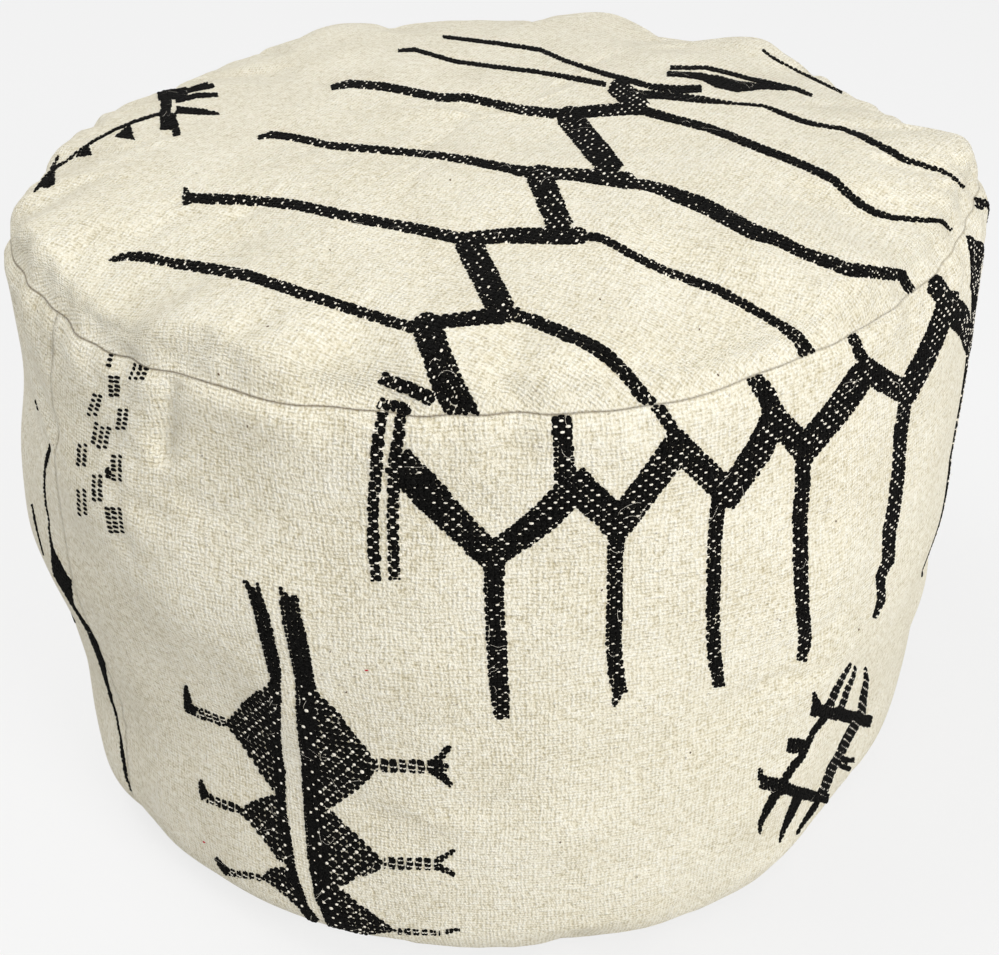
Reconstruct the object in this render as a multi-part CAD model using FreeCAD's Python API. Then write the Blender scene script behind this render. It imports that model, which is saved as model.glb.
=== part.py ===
import FreeCAD, Part
import math
import os

from FreeCAD import Vector

# A round floor pouf: a sewn wool cover with a zip under it, a liner bag and its stuffing.
# Millimetres and degrees. The origin is the middle of the base, on the floor, and +Z is up.
# The front is -Y. Angles round the pouf are counted from the front towards +X.

# Cover: the crease of the top seam and the rolls of cloth above and below it
SEAM_RADIUS = 255.0
SEAM_HEIGHT = 342.0
SHOULDER_ROLL = 15.0
SHOULDER_TUCK = 30.0
DOME_RISE = 9.5
LIP_ROLL = 20.0
LIP_TUCK = 40.0
BAND_BULGE = 4.5
BELLY_HEIGHT = 175.0
FOOT_ROLL = 40.0
CLOTH = 2.5
ALLOWANCE = 12.0
FLAP_SETBACK = 5.0
SIDE_SEAM_ANGLE = -54.0
THREAD = 0.7
CLEARANCE = 0.15

# Base opening and its zip, closed at the +X end
HEM = 14.0
HEM_SETBACK = 6.0
SLOT_WIDTH = 12.0
SLOT_MARGIN = 3.0
ZIP_LENGTH = 300.0
TAPE = 0.6
TAPE_GAP = 4.0
TAPE_END = 10.0
TOOTH_PITCH = 2.8
TOOTH_WIDTH = 1.3
TOOTH_HEIGHT = 2.4
TOOTH_ROOT = 3.0
TOOTH_HOOK = 0.9
TOOTH_GRIP = 0.05
STOP_LENGTH = 2.5

# Zip slider and its pull
SLIDER_LENGTH = 11.0
SLIDER_WALL = 0.8
SLIDER_PLAY = 0.2
SLIDER_RIM_PLAY = 0.6
DIAMOND_LENGTH = 3.0
DIAMOND_WIDTH = 2.6
DIAMOND_SETBACK = 0.5
BAIL_WIDTH = 2.0
BAIL_WALL = 0.8
PIVOT_RADIUS = 0.5
PIVOT_PLAY = 0.3
PULL_LENGTH = 24.0
PULL_WIDTH = 5.5
PULL_THICKNESS = 1.2
FLOOR_GAP = 0.15

# Liner bag and stuffing
LINER = 0.8
STUFFING_GAP = 0.3

# Outer face in half section: centres as (radius, height), angles up from the horizontal
SHOULDER_CENTRE = (
    SEAM_RADIUS - SHOULDER_ROLL * math.cos(math.radians(SHOULDER_TUCK)),
    SEAM_HEIGHT + SHOULDER_ROLL * math.sin(math.radians(SHOULDER_TUCK)),
)
TOP_HEIGHT = SHOULDER_CENTRE[1] + SHOULDER_ROLL + DOME_RISE
DOME_RADIUS = SHOULDER_ROLL + DOME_RISE / 2 + SHOULDER_CENTRE[0] ** 2 / (2 * DOME_RISE)
DOME_CENTRE = (0.0, TOP_HEIGHT - DOME_RADIUS)
LIP_CENTRE = (
    SEAM_RADIUS - LIP_ROLL * math.cos(math.radians(LIP_TUCK)),
    SEAM_HEIGHT - LIP_ROLL * math.sin(math.radians(LIP_TUCK)),
)
BELLY_RADIUS = LIP_CENTRE[0] + LIP_ROLL + BAND_BULGE
BARREL_RADIUS = LIP_ROLL + BAND_BULGE / 2 + (LIP_CENTRE[1] - BELLY_HEIGHT) ** 2 / (2 * BAND_BULGE)
BARREL_CENTRE = (BELLY_RADIUS - BARREL_RADIUS, BELLY_HEIGHT)
FOOT_REACH = math.sqrt((BARREL_RADIUS - FOOT_ROLL) ** 2 - (BELLY_HEIGHT - FOOT_ROLL) ** 2)
FOOT_CENTRE = (BARREL_CENTRE[0] + FOOT_REACH, FOOT_ROLL)
BASE_RADIUS = FOOT_CENTRE[0]


def slope(start, end):
    """Angle in degrees of the line from one (radius, height) point to another."""
    return math.degrees(math.atan2(end[1] - start[1], end[0] - start[0]))


DOME_EDGE = slope(DOME_CENTRE, SHOULDER_CENTRE)
BARREL_TOP = slope(BARREL_CENTRE, LIP_CENTRE)
BARREL_FOOT = slope(BARREL_CENTRE, FOOT_CENTRE)

# Heights of the layers over the base opening, and places along the zip
HEM_TOP = 2 * CLOTH
CHAIN_HEIGHT = HEM_TOP + TAPE / 2
HEM_REACH = SLOT_WIDTH / 2 + HEM
HEM_END = math.sqrt((BASE_RADIUS - ALLOWANCE - HEM_SETBACK) ** 2 - HEM_REACH ** 2)
SLIDER_CAVITY = TOOTH_HEIGHT / 2 + SLIDER_PLAY
SLIDER_HALF_HEIGHT = SLIDER_CAVITY + SLIDER_WALL
SLIDER_REST = (ZIP_LENGTH - SLIDER_LENGTH) / 2
SLIDER_TRAVEL = ZIP_LENGTH - SLIDER_LENGTH - CLEARANCE
BAIL_INNER = PIVOT_RADIUS + PIVOT_PLAY
BAIL_OUTER = BAIL_INNER + BAIL_WALL
PIVOT_HEIGHT = CHAIN_HEIGHT - SLIDER_HALF_HEIGHT - BAIL_INNER - CLEARANCE
PULL_TILT = math.degrees(math.asin((PIVOT_HEIGHT - PULL_THICKNESS / 2 - FLOOR_GAP) / PULL_LENGTH))
SLOT_START = SLIDER_REST - SLIDER_TRAVEL - PULL_LENGTH - SLOT_MARGIN
SLOT_END = ZIP_LENGTH / 2 + STOP_LENGTH + SLOT_MARGIN
SLIDER_TOP = CHAIN_HEIGHT + SLIDER_HALF_HEIGHT
LINER_INSET = CLOTH + THREAD + 2 * CLEARANCE

UP = Vector(0, 0, 1)
ALONG = Vector(1, 0, 0)
ACROSS = Vector(0, 1, 0)
CENTRE = Vector(0, 0, 0)
SAME_POINT = 1e-6


def spot(radius, height):
    """Point of the half section."""
    return Vector(radius, 0, height)


def arc(centre, radius, start, end):
    """Arc of the half section about a centre, between two angles."""
    turns = [math.radians(angle) for angle in (start, (start + end) / 2, end)]
    points = [spot(centre[0] + radius * math.cos(a), centre[1] + radius * math.sin(a)) for a in turns]
    return Part.Arc(*points).toShape()


def reverse_of(edge):
    """Same arc, drawn from its other end."""
    middle = edge.valueAt((edge.FirstParameter + edge.LastParameter) / 2)
    return Part.Arc(edge.valueAt(edge.LastParameter), middle, edge.valueAt(edge.FirstParameter)).toShape()


def outline(steps):
    """Face of the half section bordered by points and arcs in order, joined by straight lines."""
    ends = []
    for step in steps:
        if isinstance(step, Vector):
            ends.append((step, step, None))
        else:
            ends.append((step.valueAt(step.FirstParameter), step.valueAt(step.LastParameter), step))
    edges = []
    for here, after in zip(ends, ends[1:] + ends[:1]):
        if here[2]:
            edges.append(here[2])
        if here[1].distanceToPoint(after[0]) > SAME_POINT:
            edges.append(Part.makeLine(here[1], after[0]))
    return Part.Face(Part.Wire(edges))


def turn_to(shape, angle):
    """Shape drawn towards +X, turned to an angle round the pouf."""
    return shape.rotated(CENTRE, UP, angle - 90)


def spun(face, start=0.0, span=360.0):
    """Solid swept by a half section round the pouf."""
    return turn_to(face, start).revolve(CENTRE, UP, span)


def block(x, y, z):
    """Box between pairs of limits along each axis."""
    return Part.makeBox(x[1] - x[0], y[1] - y[0], z[1] - z[0], Vector(x[0], y[0], z[0]))


def level(centre, radius, height):
    """Angle at which an arc about a centre reaches a height."""
    return math.degrees(math.asin((height - centre[1]) / radius))


def dome_edges(inset):
    """Top's arcs at an inset from its outer face, from the axis down to its turned edge."""
    shoulder = SHOULDER_ROLL - inset
    edge = level(SHOULDER_CENTRE, shoulder, SEAM_HEIGHT + inset)
    return [
        arc(DOME_CENTRE, DOME_RADIUS - inset, 90, DOME_EDGE),
        arc(SHOULDER_CENTRE, shoulder, DOME_EDGE, edge),
    ]


def band_edges(inset, floor):
    """Band's arcs at an inset from its outer face, from its turned top edge down to a height."""
    lip = LIP_ROLL - inset
    foot = FOOT_ROLL - inset
    return [
        arc(LIP_CENTRE, lip, level(LIP_CENTRE, lip, SEAM_HEIGHT - inset), BARREL_TOP),
        arc(BARREL_CENTRE, BARREL_RADIUS - inset, BARREL_TOP, BARREL_FOOT),
        arc(FOOT_CENTRE, foot, BARREL_FOOT, level(FOOT_CENTRE, foot, floor)),
    ]


def ring(radius, height):
    """Line of stitching round the pouf."""
    return Part.makeTorus(radius, THREAD / 2, Vector(0, 0, height), UP)


def rod(start, end, y, height):
    """Line of stitching along the zip."""
    return Part.makeCylinder(THREAD / 2, end - start, Vector(start, y, height), ALONG)


def top_panel():
    """Crowned disc whose edge turns in flat over the seam."""
    turned = SEAM_RADIUS - ALLOWANCE
    inner = dome_edges(CLOTH)
    steps = dome_edges(0) + [spot(turned, SEAM_HEIGHT), spot(turned, SEAM_HEIGHT + CLOTH)]
    steps += [reverse_of(edge) for edge in inner[::-1]]
    return spun(outline(steps))


def side_seam_ends(setback):
    """Angles of the barrel at which an upright seam starts and ends, at a setback from its arc's ends."""
    lean = math.degrees(setback / BARREL_RADIUS)
    return BARREL_FOOT + lean, BARREL_TOP - lean


def side_seam_flap(outer, inner, grow):
    """Half section of an upright seam's turned edge, between two insets of the barrel."""
    foot, top = side_seam_ends(FLAP_SETBACK - grow)
    return outline([
        arc(BARREL_CENTRE, BARREL_RADIUS - outer, foot, top),
        arc(BARREL_CENTRE, BARREL_RADIUS - inner, top, foot),
    ])


def side_panel(start):
    """Half of the band from one upright seam to the other, with its four turned edges."""
    turned_top = SEAM_RADIUS - ALLOWANCE
    turned_foot = BASE_RADIUS - ALLOWANCE
    steps = band_edges(0, 0)
    steps += [spot(BASE_RADIUS, CLOTH), spot(turned_foot, CLOTH), spot(turned_foot, HEM_TOP)]
    steps += [reverse_of(edge) for edge in band_edges(CLOTH, HEM_TOP)[::-1]]
    steps += [spot(turned_top, SEAM_HEIGHT - CLOTH), spot(turned_top, SEAM_HEIGHT)]
    panel = spun(outline(steps), start, 180)
    flap = side_seam_flap(CLOTH / 2, CLOTH + ALLOWANCE, 0)
    first = turn_to(flap.extrude(ACROSS * CLOTH), start)
    last = turn_to(flap.extrude(ACROSS * -CLOTH), start + 180)
    return panel.fuse([first, last]).removeSplitter()


def base_panel(side):
    """Half of the base on one side of the zip, with its hem folded up and in."""
    radius = BASE_RADIUS - CLEARANCE
    disc = Part.makeCylinder(radius, CLOTH, CENTRE, UP)
    half = disc.common(block((-radius, radius), sorted((0, side * radius)), (0, CLOTH)))
    hem = block((-HEM_END, HEM_END), sorted((0, side * HEM_REACH)), (CLOTH, HEM_TOP))
    slot = block((SLOT_START, SLOT_END), (-SLOT_WIDTH / 2, SLOT_WIDTH / 2), (0, HEM_TOP))
    return half.fuse(hem).cut(slot).removeSplitter()


def side_seam_threads():
    """Stitching on the turned edges of the two upright seams."""
    radius = BARREL_RADIUS - CLOTH - ALLOWANCE / 2
    foot_angle, top_angle = side_seam_ends(FLAP_SETBACK)
    foot = math.radians(foot_angle)
    offset = CLOTH + CLEARANCE + THREAD / 2
    middle = spot(BARREL_CENTRE[0], BARREL_CENTRE[1])
    threads = []
    for angle, side in ((SIDE_SEAM_ANGLE, 1), (SIDE_SEAM_ANGLE + 180, -1)):
        start = middle + Vector(radius * math.cos(foot), side * offset, radius * math.sin(foot))
        along = Vector(-math.sin(foot), 0, math.cos(foot))
        spot_face = Part.Face(Part.Wire(Part.makeCircle(THREAD / 2, start, along)))
        thread = spot_face.revolve(middle, ACROSS * -1, top_angle - foot_angle)
        threads.append(turn_to(thread, angle))
    return Part.makeCompound(threads)


def base_centre_threads():
    """Stitching that closes the base beyond both ends of the zip."""
    height = HEM_TOP + CLEARANCE + THREAD / 2
    near = rod(-HEM_END, SLOT_START - TAPE_END - CLEARANCE, 0, height)
    far = rod(SLOT_END + TAPE_END + CLEARANCE, HEM_END, 0, height)
    return Part.makeCompound([near, far])


def zip_tape(side):
    """Woven tape that lies on the hem and carries a row of teeth on its inner edge."""
    edges = sorted((side * TAPE_GAP / 2, side * HEM_REACH))
    return block((SLOT_START - TAPE_END, SLOT_END + TAPE_END), edges, (HEM_TOP, HEM_TOP + TAPE))


def zip_threads():
    """Stitching through both tapes into the hems."""
    height = HEM_TOP + TAPE + CLEARANCE + THREAD / 2
    middle = (SLOT_WIDTH / 2 + HEM_REACH) / 2
    lines = [rod(SLOT_START, SLOT_END, side * middle, height) for side in (-1, 1)]
    return Part.makeCompound(lines)


def gripped(solid, side):
    """Solid with a slit that takes the edge of a tape."""
    reach = sorted((side * (TAPE_GAP / 2 - TOOTH_GRIP), side * SLOT_WIDTH))
    half = TAPE / 2 + TOOTH_GRIP
    slit = block((-ZIP_LENGTH, ZIP_LENGTH), reach, (CHAIN_HEIGHT - half, CHAIN_HEIGHT + half))
    return solid.cut(slit)


def zip_teeth(side):
    """Row of teeth from the bottom stop to the slider's throat, hooked between those of the other row."""
    shift = TOOTH_PITCH / 4 * (1 + side)
    first = -ZIP_LENGTH / 2 + CLEARANCE + shift
    throat = SLIDER_REST + SLIDER_LENGTH / 2 - DIAMOND_SETBACK - DIAMOND_LENGTH - 2 * CLEARANCE
    count = int((throat - TOOTH_WIDTH - first) / TOOTH_PITCH) + 1
    across = sorted((-side * TOOTH_HOOK, side * TOOTH_ROOT))
    upright = (CHAIN_HEIGHT - TOOTH_HEIGHT / 2, CHAIN_HEIGHT + TOOTH_HEIGHT / 2)
    tooth = gripped(block((0, TOOTH_WIDTH), across, upright), side)
    row = [tooth.translated(ALONG * (first + index * TOOTH_PITCH)) for index in range(count)]
    return Part.makeCompound(row)


def zip_stop(start, across):
    """Block clamped over the edges of the tapes."""
    upright = (CHAIN_HEIGHT - TOOTH_HEIGHT / 2, CHAIN_HEIGHT + TOOTH_HEIGHT / 2)
    return block((start, start + STOP_LENGTH), across, upright)


def zip_top_stops():
    """Pair of stops ahead of the slider, one on each tape."""
    start = ZIP_LENGTH / 2 + CLEARANCE
    inner = TAPE_GAP / 2 - 2 * TOOTH_GRIP - TAPE
    stops = [gripped(zip_stop(start, sorted((s * inner, s * TOOTH_ROOT))), s) for s in (-1, 1)]
    return Part.makeCompound(stops)


def zip_bottom_stop():
    """Stop that joins the two tapes at the other end."""
    whole = zip_stop(-ZIP_LENGTH / 2 - STOP_LENGTH, (-TOOTH_ROOT, TOOTH_ROOT))
    return gripped(gripped(whole, -1), 1)


def zip_slider():
    """Two plates joined by a wedge between the rows, with side rims and a bail for the pull."""
    back = SLIDER_REST - SLIDER_LENGTH / 2
    nose = SLIDER_REST + SLIDER_LENGTH / 2
    inside = TOOTH_ROOT + SLIDER_RIM_PLAY
    outside = inside + SLIDER_WALL
    lip = TAPE / 2 + SLIDER_PLAY
    pieces = []
    for sign in (-1, 1):
        plate = sorted((CHAIN_HEIGHT + sign * SLIDER_CAVITY, CHAIN_HEIGHT + sign * SLIDER_HALF_HEIGHT))
        pieces.append(block((back, nose), (-outside, outside), plate))
        rim = sorted((CHAIN_HEIGHT + sign * lip, CHAIN_HEIGHT + sign * SLIDER_HALF_HEIGHT))
        for side in (-1, 1):
            pieces.append(block((back, nose), sorted((side * inside, side * outside)), rim))
    wedge_end = nose - DIAMOND_SETBACK
    wedge = (CHAIN_HEIGHT - SLIDER_HALF_HEIGHT, SLIDER_TOP)
    wedge_side = (-DIAMOND_WIDTH / 2, DIAMOND_WIDTH / 2)
    pieces.append(block((wedge_end - DIAMOND_LENGTH, wedge_end), wedge_side, wedge))
    corner = Vector(SLIDER_REST, -BAIL_WIDTH / 2, PIVOT_HEIGHT)
    pieces.append(Part.makeCylinder(BAIL_OUTER, BAIL_WIDTH, corner, ACROSS))
    eye = Part.makeCylinder(BAIL_INNER, BAIL_WIDTH, corner, ACROSS)
    return pieces[0].fuse(pieces[1:]).cut(eye).removeSplitter()


def zip_pull():
    """Flat tag with a window round the bail and a round bar through it, hanging to the floor."""
    half = PULL_THICKNESS / 2
    window = BAIL_WIDTH / 2 + PIVOT_PLAY
    reach = BAIL_OUTER + PIVOT_PLAY
    tag = block((-PULL_LENGTH, 0), (-PULL_WIDTH / 2, PULL_WIDTH / 2), (-half, half))
    ends = Part.makeCylinder(half, PULL_WIDTH, Vector(0, -PULL_WIDTH / 2, 0), ACROSS)
    hole = block((-reach, half), (-window, window), (-half, half))
    bar = Part.makeCylinder(PIVOT_RADIUS, 2 * window, Vector(0, -window, 0), ACROSS)
    pull = tag.fuse(ends).cut(hole).fuse(bar).removeSplitter()
    pull.rotate(CENTRE, ACROSS, -PULL_TILT)
    return pull.translated(Vector(SLIDER_REST, 0, PIVOT_HEIGHT))


def hollow(inset):
    """Space inside the cover at an inset from its outer face, clear of turned edges, hems and zip."""
    grow = inset - CLOTH
    neck = SEAM_RADIUS - ALLOWANCE - grow
    step = BASE_RADIUS - ALLOWANCE - grow
    steps = dome_edges(inset) + [spot(neck, SEAM_HEIGHT + inset), spot(neck, SEAM_HEIGHT - inset)]
    steps += band_edges(inset, CLOTH + inset)
    steps += [spot(step, CLOTH + inset), spot(step, inset), spot(0, inset)]
    space = spun(outline(steps))
    flap = side_seam_flap(0, inset + ALLOWANCE, grow)
    slots = []
    for angle in (SIDE_SEAM_ANGLE, SIDE_SEAM_ANGLE + 180):
        slots.append(turn_to(flap.translated(ACROSS * -inset).extrude(ACROSS * 2 * inset), angle))
    end = HEM_END + grow
    reach = HEM_REACH + grow
    slots.append(block((-end, end), (-reach, reach), (0, SLIDER_TOP + grow)))
    return space.cut(slots)


def liner():
    """Calico bag just inside the cover, as its top, its side and its base."""
    bag = hollow(LINER_INSET).cut(hollow(LINER_INSET + LINER))
    radius = BASE_RADIUS - ALLOWANCE - (LINER_INSET - CLOTH) + CLEARANCE
    base_zone = Part.makeCylinder(radius, SLIDER_TOP + LINER_INSET + LINER, CENTRE, UP)
    wide = (-BELLY_RADIUS, BELLY_RADIUS)
    top_zone = block(wide, wide, (SEAM_HEIGHT, TOP_HEIGHT))
    return bag.common(top_zone), bag.cut([top_zone, base_zone]), bag.common(base_zone)


liner_top, liner_side, liner_base = liner()
nodes = {
    "top_panel": top_panel(),
    "front_side_panel": side_panel(SIDE_SEAM_ANGLE),
    "back_side_panel": side_panel(SIDE_SEAM_ANGLE + 180),
    "front_base_panel": base_panel(-1),
    "back_base_panel": base_panel(1),
    "top_seam_thread": ring(SEAM_RADIUS - ALLOWANCE / 2, SEAM_HEIGHT + CLOTH + CLEARANCE + THREAD / 2),
    "base_seam_thread": ring(BASE_RADIUS - ALLOWANCE / 2, HEM_TOP + CLEARANCE + THREAD / 2),
    "side_seam_threads": side_seam_threads(),
    "base_centre_threads": base_centre_threads(),
    "zip_tape_front": zip_tape(-1),
    "zip_tape_back": zip_tape(1),
    "zip_threads": zip_threads(),
    "zip_teeth_front": zip_teeth(-1),
    "zip_teeth_back": zip_teeth(1),
    "zip_top_stops": zip_top_stops(),
    "zip_bottom_stop": zip_bottom_stop(),
    "zip_slider": zip_slider(),
    "zip_pull": zip_pull(),
    "liner_top": liner_top,
    "liner_side": liner_side,
    "liner_base": liner_base,
    "stuffing": hollow(LINER_INSET + LINER + STUFFING_GAP),
}

os.makedirs("parts", exist_ok=True)
for name, shape in nodes.items():
    shape.exportStep(f"parts/{name}.step")
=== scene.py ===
"""A round floor pouf of undyed handspun wool with black woven figures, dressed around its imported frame.

Lengths are in millimetres until a mesh is made, and pixels are those of a 999 x 955 image.
The front is -Y, and an azimuth is counted from the front towards +X.
"""
import math

import bpy
import numpy as np
from mathutils import Matrix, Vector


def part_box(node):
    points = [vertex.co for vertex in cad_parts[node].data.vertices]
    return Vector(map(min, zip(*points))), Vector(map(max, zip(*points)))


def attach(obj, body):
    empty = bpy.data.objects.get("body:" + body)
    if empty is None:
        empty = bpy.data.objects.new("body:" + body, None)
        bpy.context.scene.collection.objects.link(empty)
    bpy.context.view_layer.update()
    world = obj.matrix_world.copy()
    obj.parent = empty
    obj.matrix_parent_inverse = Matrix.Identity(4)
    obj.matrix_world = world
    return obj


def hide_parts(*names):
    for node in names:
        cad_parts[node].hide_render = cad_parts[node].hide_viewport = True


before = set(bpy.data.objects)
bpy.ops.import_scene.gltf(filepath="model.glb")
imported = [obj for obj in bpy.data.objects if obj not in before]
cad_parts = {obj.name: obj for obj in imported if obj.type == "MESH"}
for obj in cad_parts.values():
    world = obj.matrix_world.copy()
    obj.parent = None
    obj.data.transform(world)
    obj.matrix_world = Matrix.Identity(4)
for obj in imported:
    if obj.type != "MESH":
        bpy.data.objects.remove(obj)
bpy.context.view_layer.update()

MM = 0.001
rng = np.random.default_rng(41)

# Image and camera: where the eye stands, which way it looks and how its picture is framed
IMAGE_WIDTH = 999
IMAGE_HEIGHT = 955
EYE = np.array([0.0, -808.8, 678.2])
EYE_ELEVATION = 34.25
EYE_ROLL = -1.35
FOCAL_PIXELS = 1600.0
CENTRE_SHIFT = (1.0, 23.0)
SENSOR = 36.0


def limits(node):
    """Lowest and highest corner of a CAD node in millimetres."""
    low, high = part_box(node)
    return np.array(low) / MM, np.array(high) / MM


# Cover: outer limits from the frame, then the rolls of cloth beside its seams
SEAM_HEIGHT = limits("top_panel")[0][2]
TOP_HEIGHT = limits("top_panel")[1][2]
SHOULDER_REACH = limits("top_panel")[1][0]
BELLY_RADIUS = limits("front_side_panel")[1][0]
CLEARANCE = 0.15
BASE_RADIUS = limits("back_base_panel")[1][1] + CLEARANCE
SHOULDER_ROLL = 15.0
SHOULDER_TUCK = 30.0
LIP_ROLL = 20.0
LIP_TUCK = 40.0
BELLY_HEIGHT = 175.0
FOOT_ROLL = 40.0
CLOTH = 2.5
ALLOWANCE = 12.0
TURN_STEPS = np.array([3.0, 7.0, ALLOWANCE])
SIDE_SEAM_ANGLE = -54.0
SEAM_PLANE_GAP = 0.05
THREAD = 0.7

# Base and bag: the zip's slot and hem, and how deep the bag and the stuffing lie
SLOT_START = -171.35
SLOT_END = 155.5
SLOT_WIDTH = 12.0
HEM_DEPTH = 14.0
HEM_END = 201.7
ZIP_RISE = 6.2
LINER = 0.8
LINER_INSET = 3.5
STUFFING_INSET = 4.6

SHOULDER_CENTRE = (
    SHOULDER_REACH - SHOULDER_ROLL,
    SEAM_HEIGHT + SHOULDER_ROLL * math.sin(math.radians(SHOULDER_TUCK)),
)
SEAM_RADIUS = SHOULDER_CENTRE[0] + SHOULDER_ROLL * math.cos(math.radians(SHOULDER_TUCK))
DOME_RISE = TOP_HEIGHT - SHOULDER_CENTRE[1] - SHOULDER_ROLL
DOME_RADIUS = SHOULDER_ROLL + DOME_RISE / 2 + SHOULDER_CENTRE[0] ** 2 / (2 * DOME_RISE)
DOME_CENTRE = (0.0, TOP_HEIGHT - DOME_RADIUS)
LIP_CENTRE = (
    SEAM_RADIUS - LIP_ROLL * math.cos(math.radians(LIP_TUCK)),
    SEAM_HEIGHT - LIP_ROLL * math.sin(math.radians(LIP_TUCK)),
)
BAND_BULGE = BELLY_RADIUS - LIP_CENTRE[0] - LIP_ROLL
BARREL_RADIUS = LIP_ROLL + BAND_BULGE / 2 + (LIP_CENTRE[1] - BELLY_HEIGHT) ** 2 / (2 * BAND_BULGE)
BARREL_CENTRE = (BELLY_RADIUS - BARREL_RADIUS, BELLY_HEIGHT)
FOOT_CENTRE = (BASE_RADIUS, FOOT_ROLL)


def slope(start, end):
    """Angle in degrees of the line from one (radius, height) point to another."""
    return math.degrees(math.atan2(end[1] - start[1], end[0] - start[0]))


DOME_EDGE = slope(DOME_CENTRE, SHOULDER_CENTRE)
BARREL_TOP = slope(BARREL_CENTRE, LIP_CENTRE)
BARREL_FOOT = slope(BARREL_CENTRE, FOOT_CENTRE)

# Half section of the outer face from the middle of the top to the floor, as tangent arcs
ARCS = np.array([
    (*DOME_CENTRE, DOME_RADIUS, 90.0, DOME_EDGE),
    (*SHOULDER_CENTRE, SHOULDER_ROLL, DOME_EDGE, -SHOULDER_TUCK),
    (*LIP_CENTRE, LIP_ROLL, LIP_TUCK, BARREL_TOP),
    (*BARREL_CENTRE, BARREL_RADIUS, BARREL_TOP, BARREL_FOOT),
    (*FOOT_CENTRE, FOOT_ROLL, BARREL_FOOT, -90.0),
])
ARC_LENGTHS = ARCS[:, 2] * np.radians(ARCS[:, 3] - ARCS[:, 4])
ARC_ENDS = np.cumsum(ARC_LENGTHS)
SHOULDER_START = ARC_ENDS[0]
SEAM = ARC_ENDS[1]
BARREL_START = ARC_ENDS[2]
FOOT_START = ARC_ENDS[3]
FLOOR = ARC_ENDS[4]
CREASE = 1e-6
# Width of the painted shade along a seam's crease
CREASE_WIDTH = 0.55

# Cloth: thread spacings, the turn of the top's threads and the cells of the black figures
WARP_PITCH = 2.15
WEFT_PITCH = 1.9
TOP_TURN = -27.0
CELL = 2.6
DIAMOND_CELL = (3.4, 4.0)
TOP_CELL = (3.0, 2.6)
POST_CELL = (1.55, 3.0)
POST_WARP = (1.0, 0.3)
DASH_HALF = (2.05, 0.85)


def section(station):
    """Radius, height and outward normal of the half section at an arc length from the top's middle:
    centre + radius (cos, sin) of an angle that runs down evenly along each arc."""
    index = np.clip(np.searchsorted(ARC_ENDS, station), 0, len(ARCS) - 1)
    centre_r, centre_z, radius, start, _ = np.moveaxis(ARCS[index], -1, 0)
    along = station - (ARC_ENDS - ARC_LENGTHS)[index]
    angle = np.radians(start) - along / radius
    return centre_r + radius * np.cos(angle), centre_z + radius * np.sin(angle), np.cos(angle), np.sin(angle)


# Departures from the round form, by azimuth in degrees. The values of the rim and the foot, and the swells
# at -54, -78 and 78 degrees, come from a least-squares fit to the photograph's outline and top seam,
# rounded. The other swells and the folds are given one by one.
# Rim: how far it has sunk and how far it is drawn in
RIM = [
    (-180, 16, 12), (-165, 16, 12), (-150, 8, 9), (-130, 17, 14), (-110, 15, 15), (-95, 10, 8),
    (-84, 14, 12), (-76, 4, 2), (-68, 0, 0), (-54, 3, 5), (-46, 9, -1), (-38, 3, 1), (-30, -2, 2),
    (-20, 0, 0), (-8, -1, 1), (5, -2, 1), (15, 2, -1), (25, 1, 2), (35, -1, 7), (45, -2, 11), (55, 4, 11),
    (65, 0, 10), (75, -1, 5), (84, -1, -2), (94, 10, 2), (106, 18, 9), (117, 18, 12), (127, 15, 10),
    (137, 4, 5), (146, 25, 19), (154, 15, 12), (163, 7, 6), (171, 13, 8),
]
RIM_SPREAD = 5.0
RIM_REACH_TOP = 100.0
RIM_REACH_BAND = 110.0
# Foot: how far the cloth is drawn in above the base seam, which keeps its place
FOOT_DRAWN = [
    (-180, 6), (-120, 6), (-75, 0), (-40, 0), (0, 3), (20, 4), (30, 0), (42, 17), (55, 26), (75, 6),
    (100, 8), (140, 8),
]
FOOT_SPREAD = 8.0
FOOT_MIDDLE = 40.0
FOOT_REACH = 190.0
FOOT_SEAM_REACH = 45.0
# Swells and dents: azimuth, drop below the seam, reach across, reach down and outward move
SWELLS = [
    (-72, 160, 110, 60, 11.0),
    (-34, 104, 85, 48, 8.0),
    (-38, 205, 90, 70, -12.5),
    (-54, 0, 60, 50, -4.5),
    (-78, 24, 90, 24, 2.3),
    (78, 24, 90, 24, 1.5),
    (-50, 66, 50, 45, 4.5),
    (71, 195, 40, 22, -5.0),
    (-40, 2, 9, 9, -3.0),
    (-33, 0, 16, 12, -1.0),
    (25, 0, 11, 10, -2.0),
]
# Folds: lines of azimuth and drop below the seam, half width and outward move
FOLDS = [
    ([(-33.3, 9), (-33.7, 20), (-34.5, 40)], 6.0, -4.5),
    ([(-34.5, 34), (-35.5, 66)], 9.0, -2.2),
    ([(-41, 52), (-40.5, 77), (-40, 92)], 7.0, -2.5),
    ([(-66, 26), (-60, 44), (-55, 62)], 12.0, -4.0),
    ([(SIDE_SEAM_ANGLE, 14), (SIDE_SEAM_ANGLE, 320)], 3.5, -0.7),
    ([(SIDE_SEAM_ANGLE + 180, 14), (SIDE_SEAM_ANGLE + 180, 320)], 3.5, -0.7),
]
# Puckers beside the top seam and lumps of the stuffing: heights, reach and sizes
SHOULDER_FLATTEN = 5.5
SHOULDER_WIDTH = 14.0
SEAM_PINCH = 12.0
PUCKER = 0.22
PUCKER_REACH = 22.0
PUCKER_COUNT = 9
PUCKER_ROUNDS = (22, 70)
LUMP = 0.5
LUMP_COUNT = 14
LUMP_SIZES = (55.0, 140.0)
LUMP_EDGE = 60.0

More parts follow.
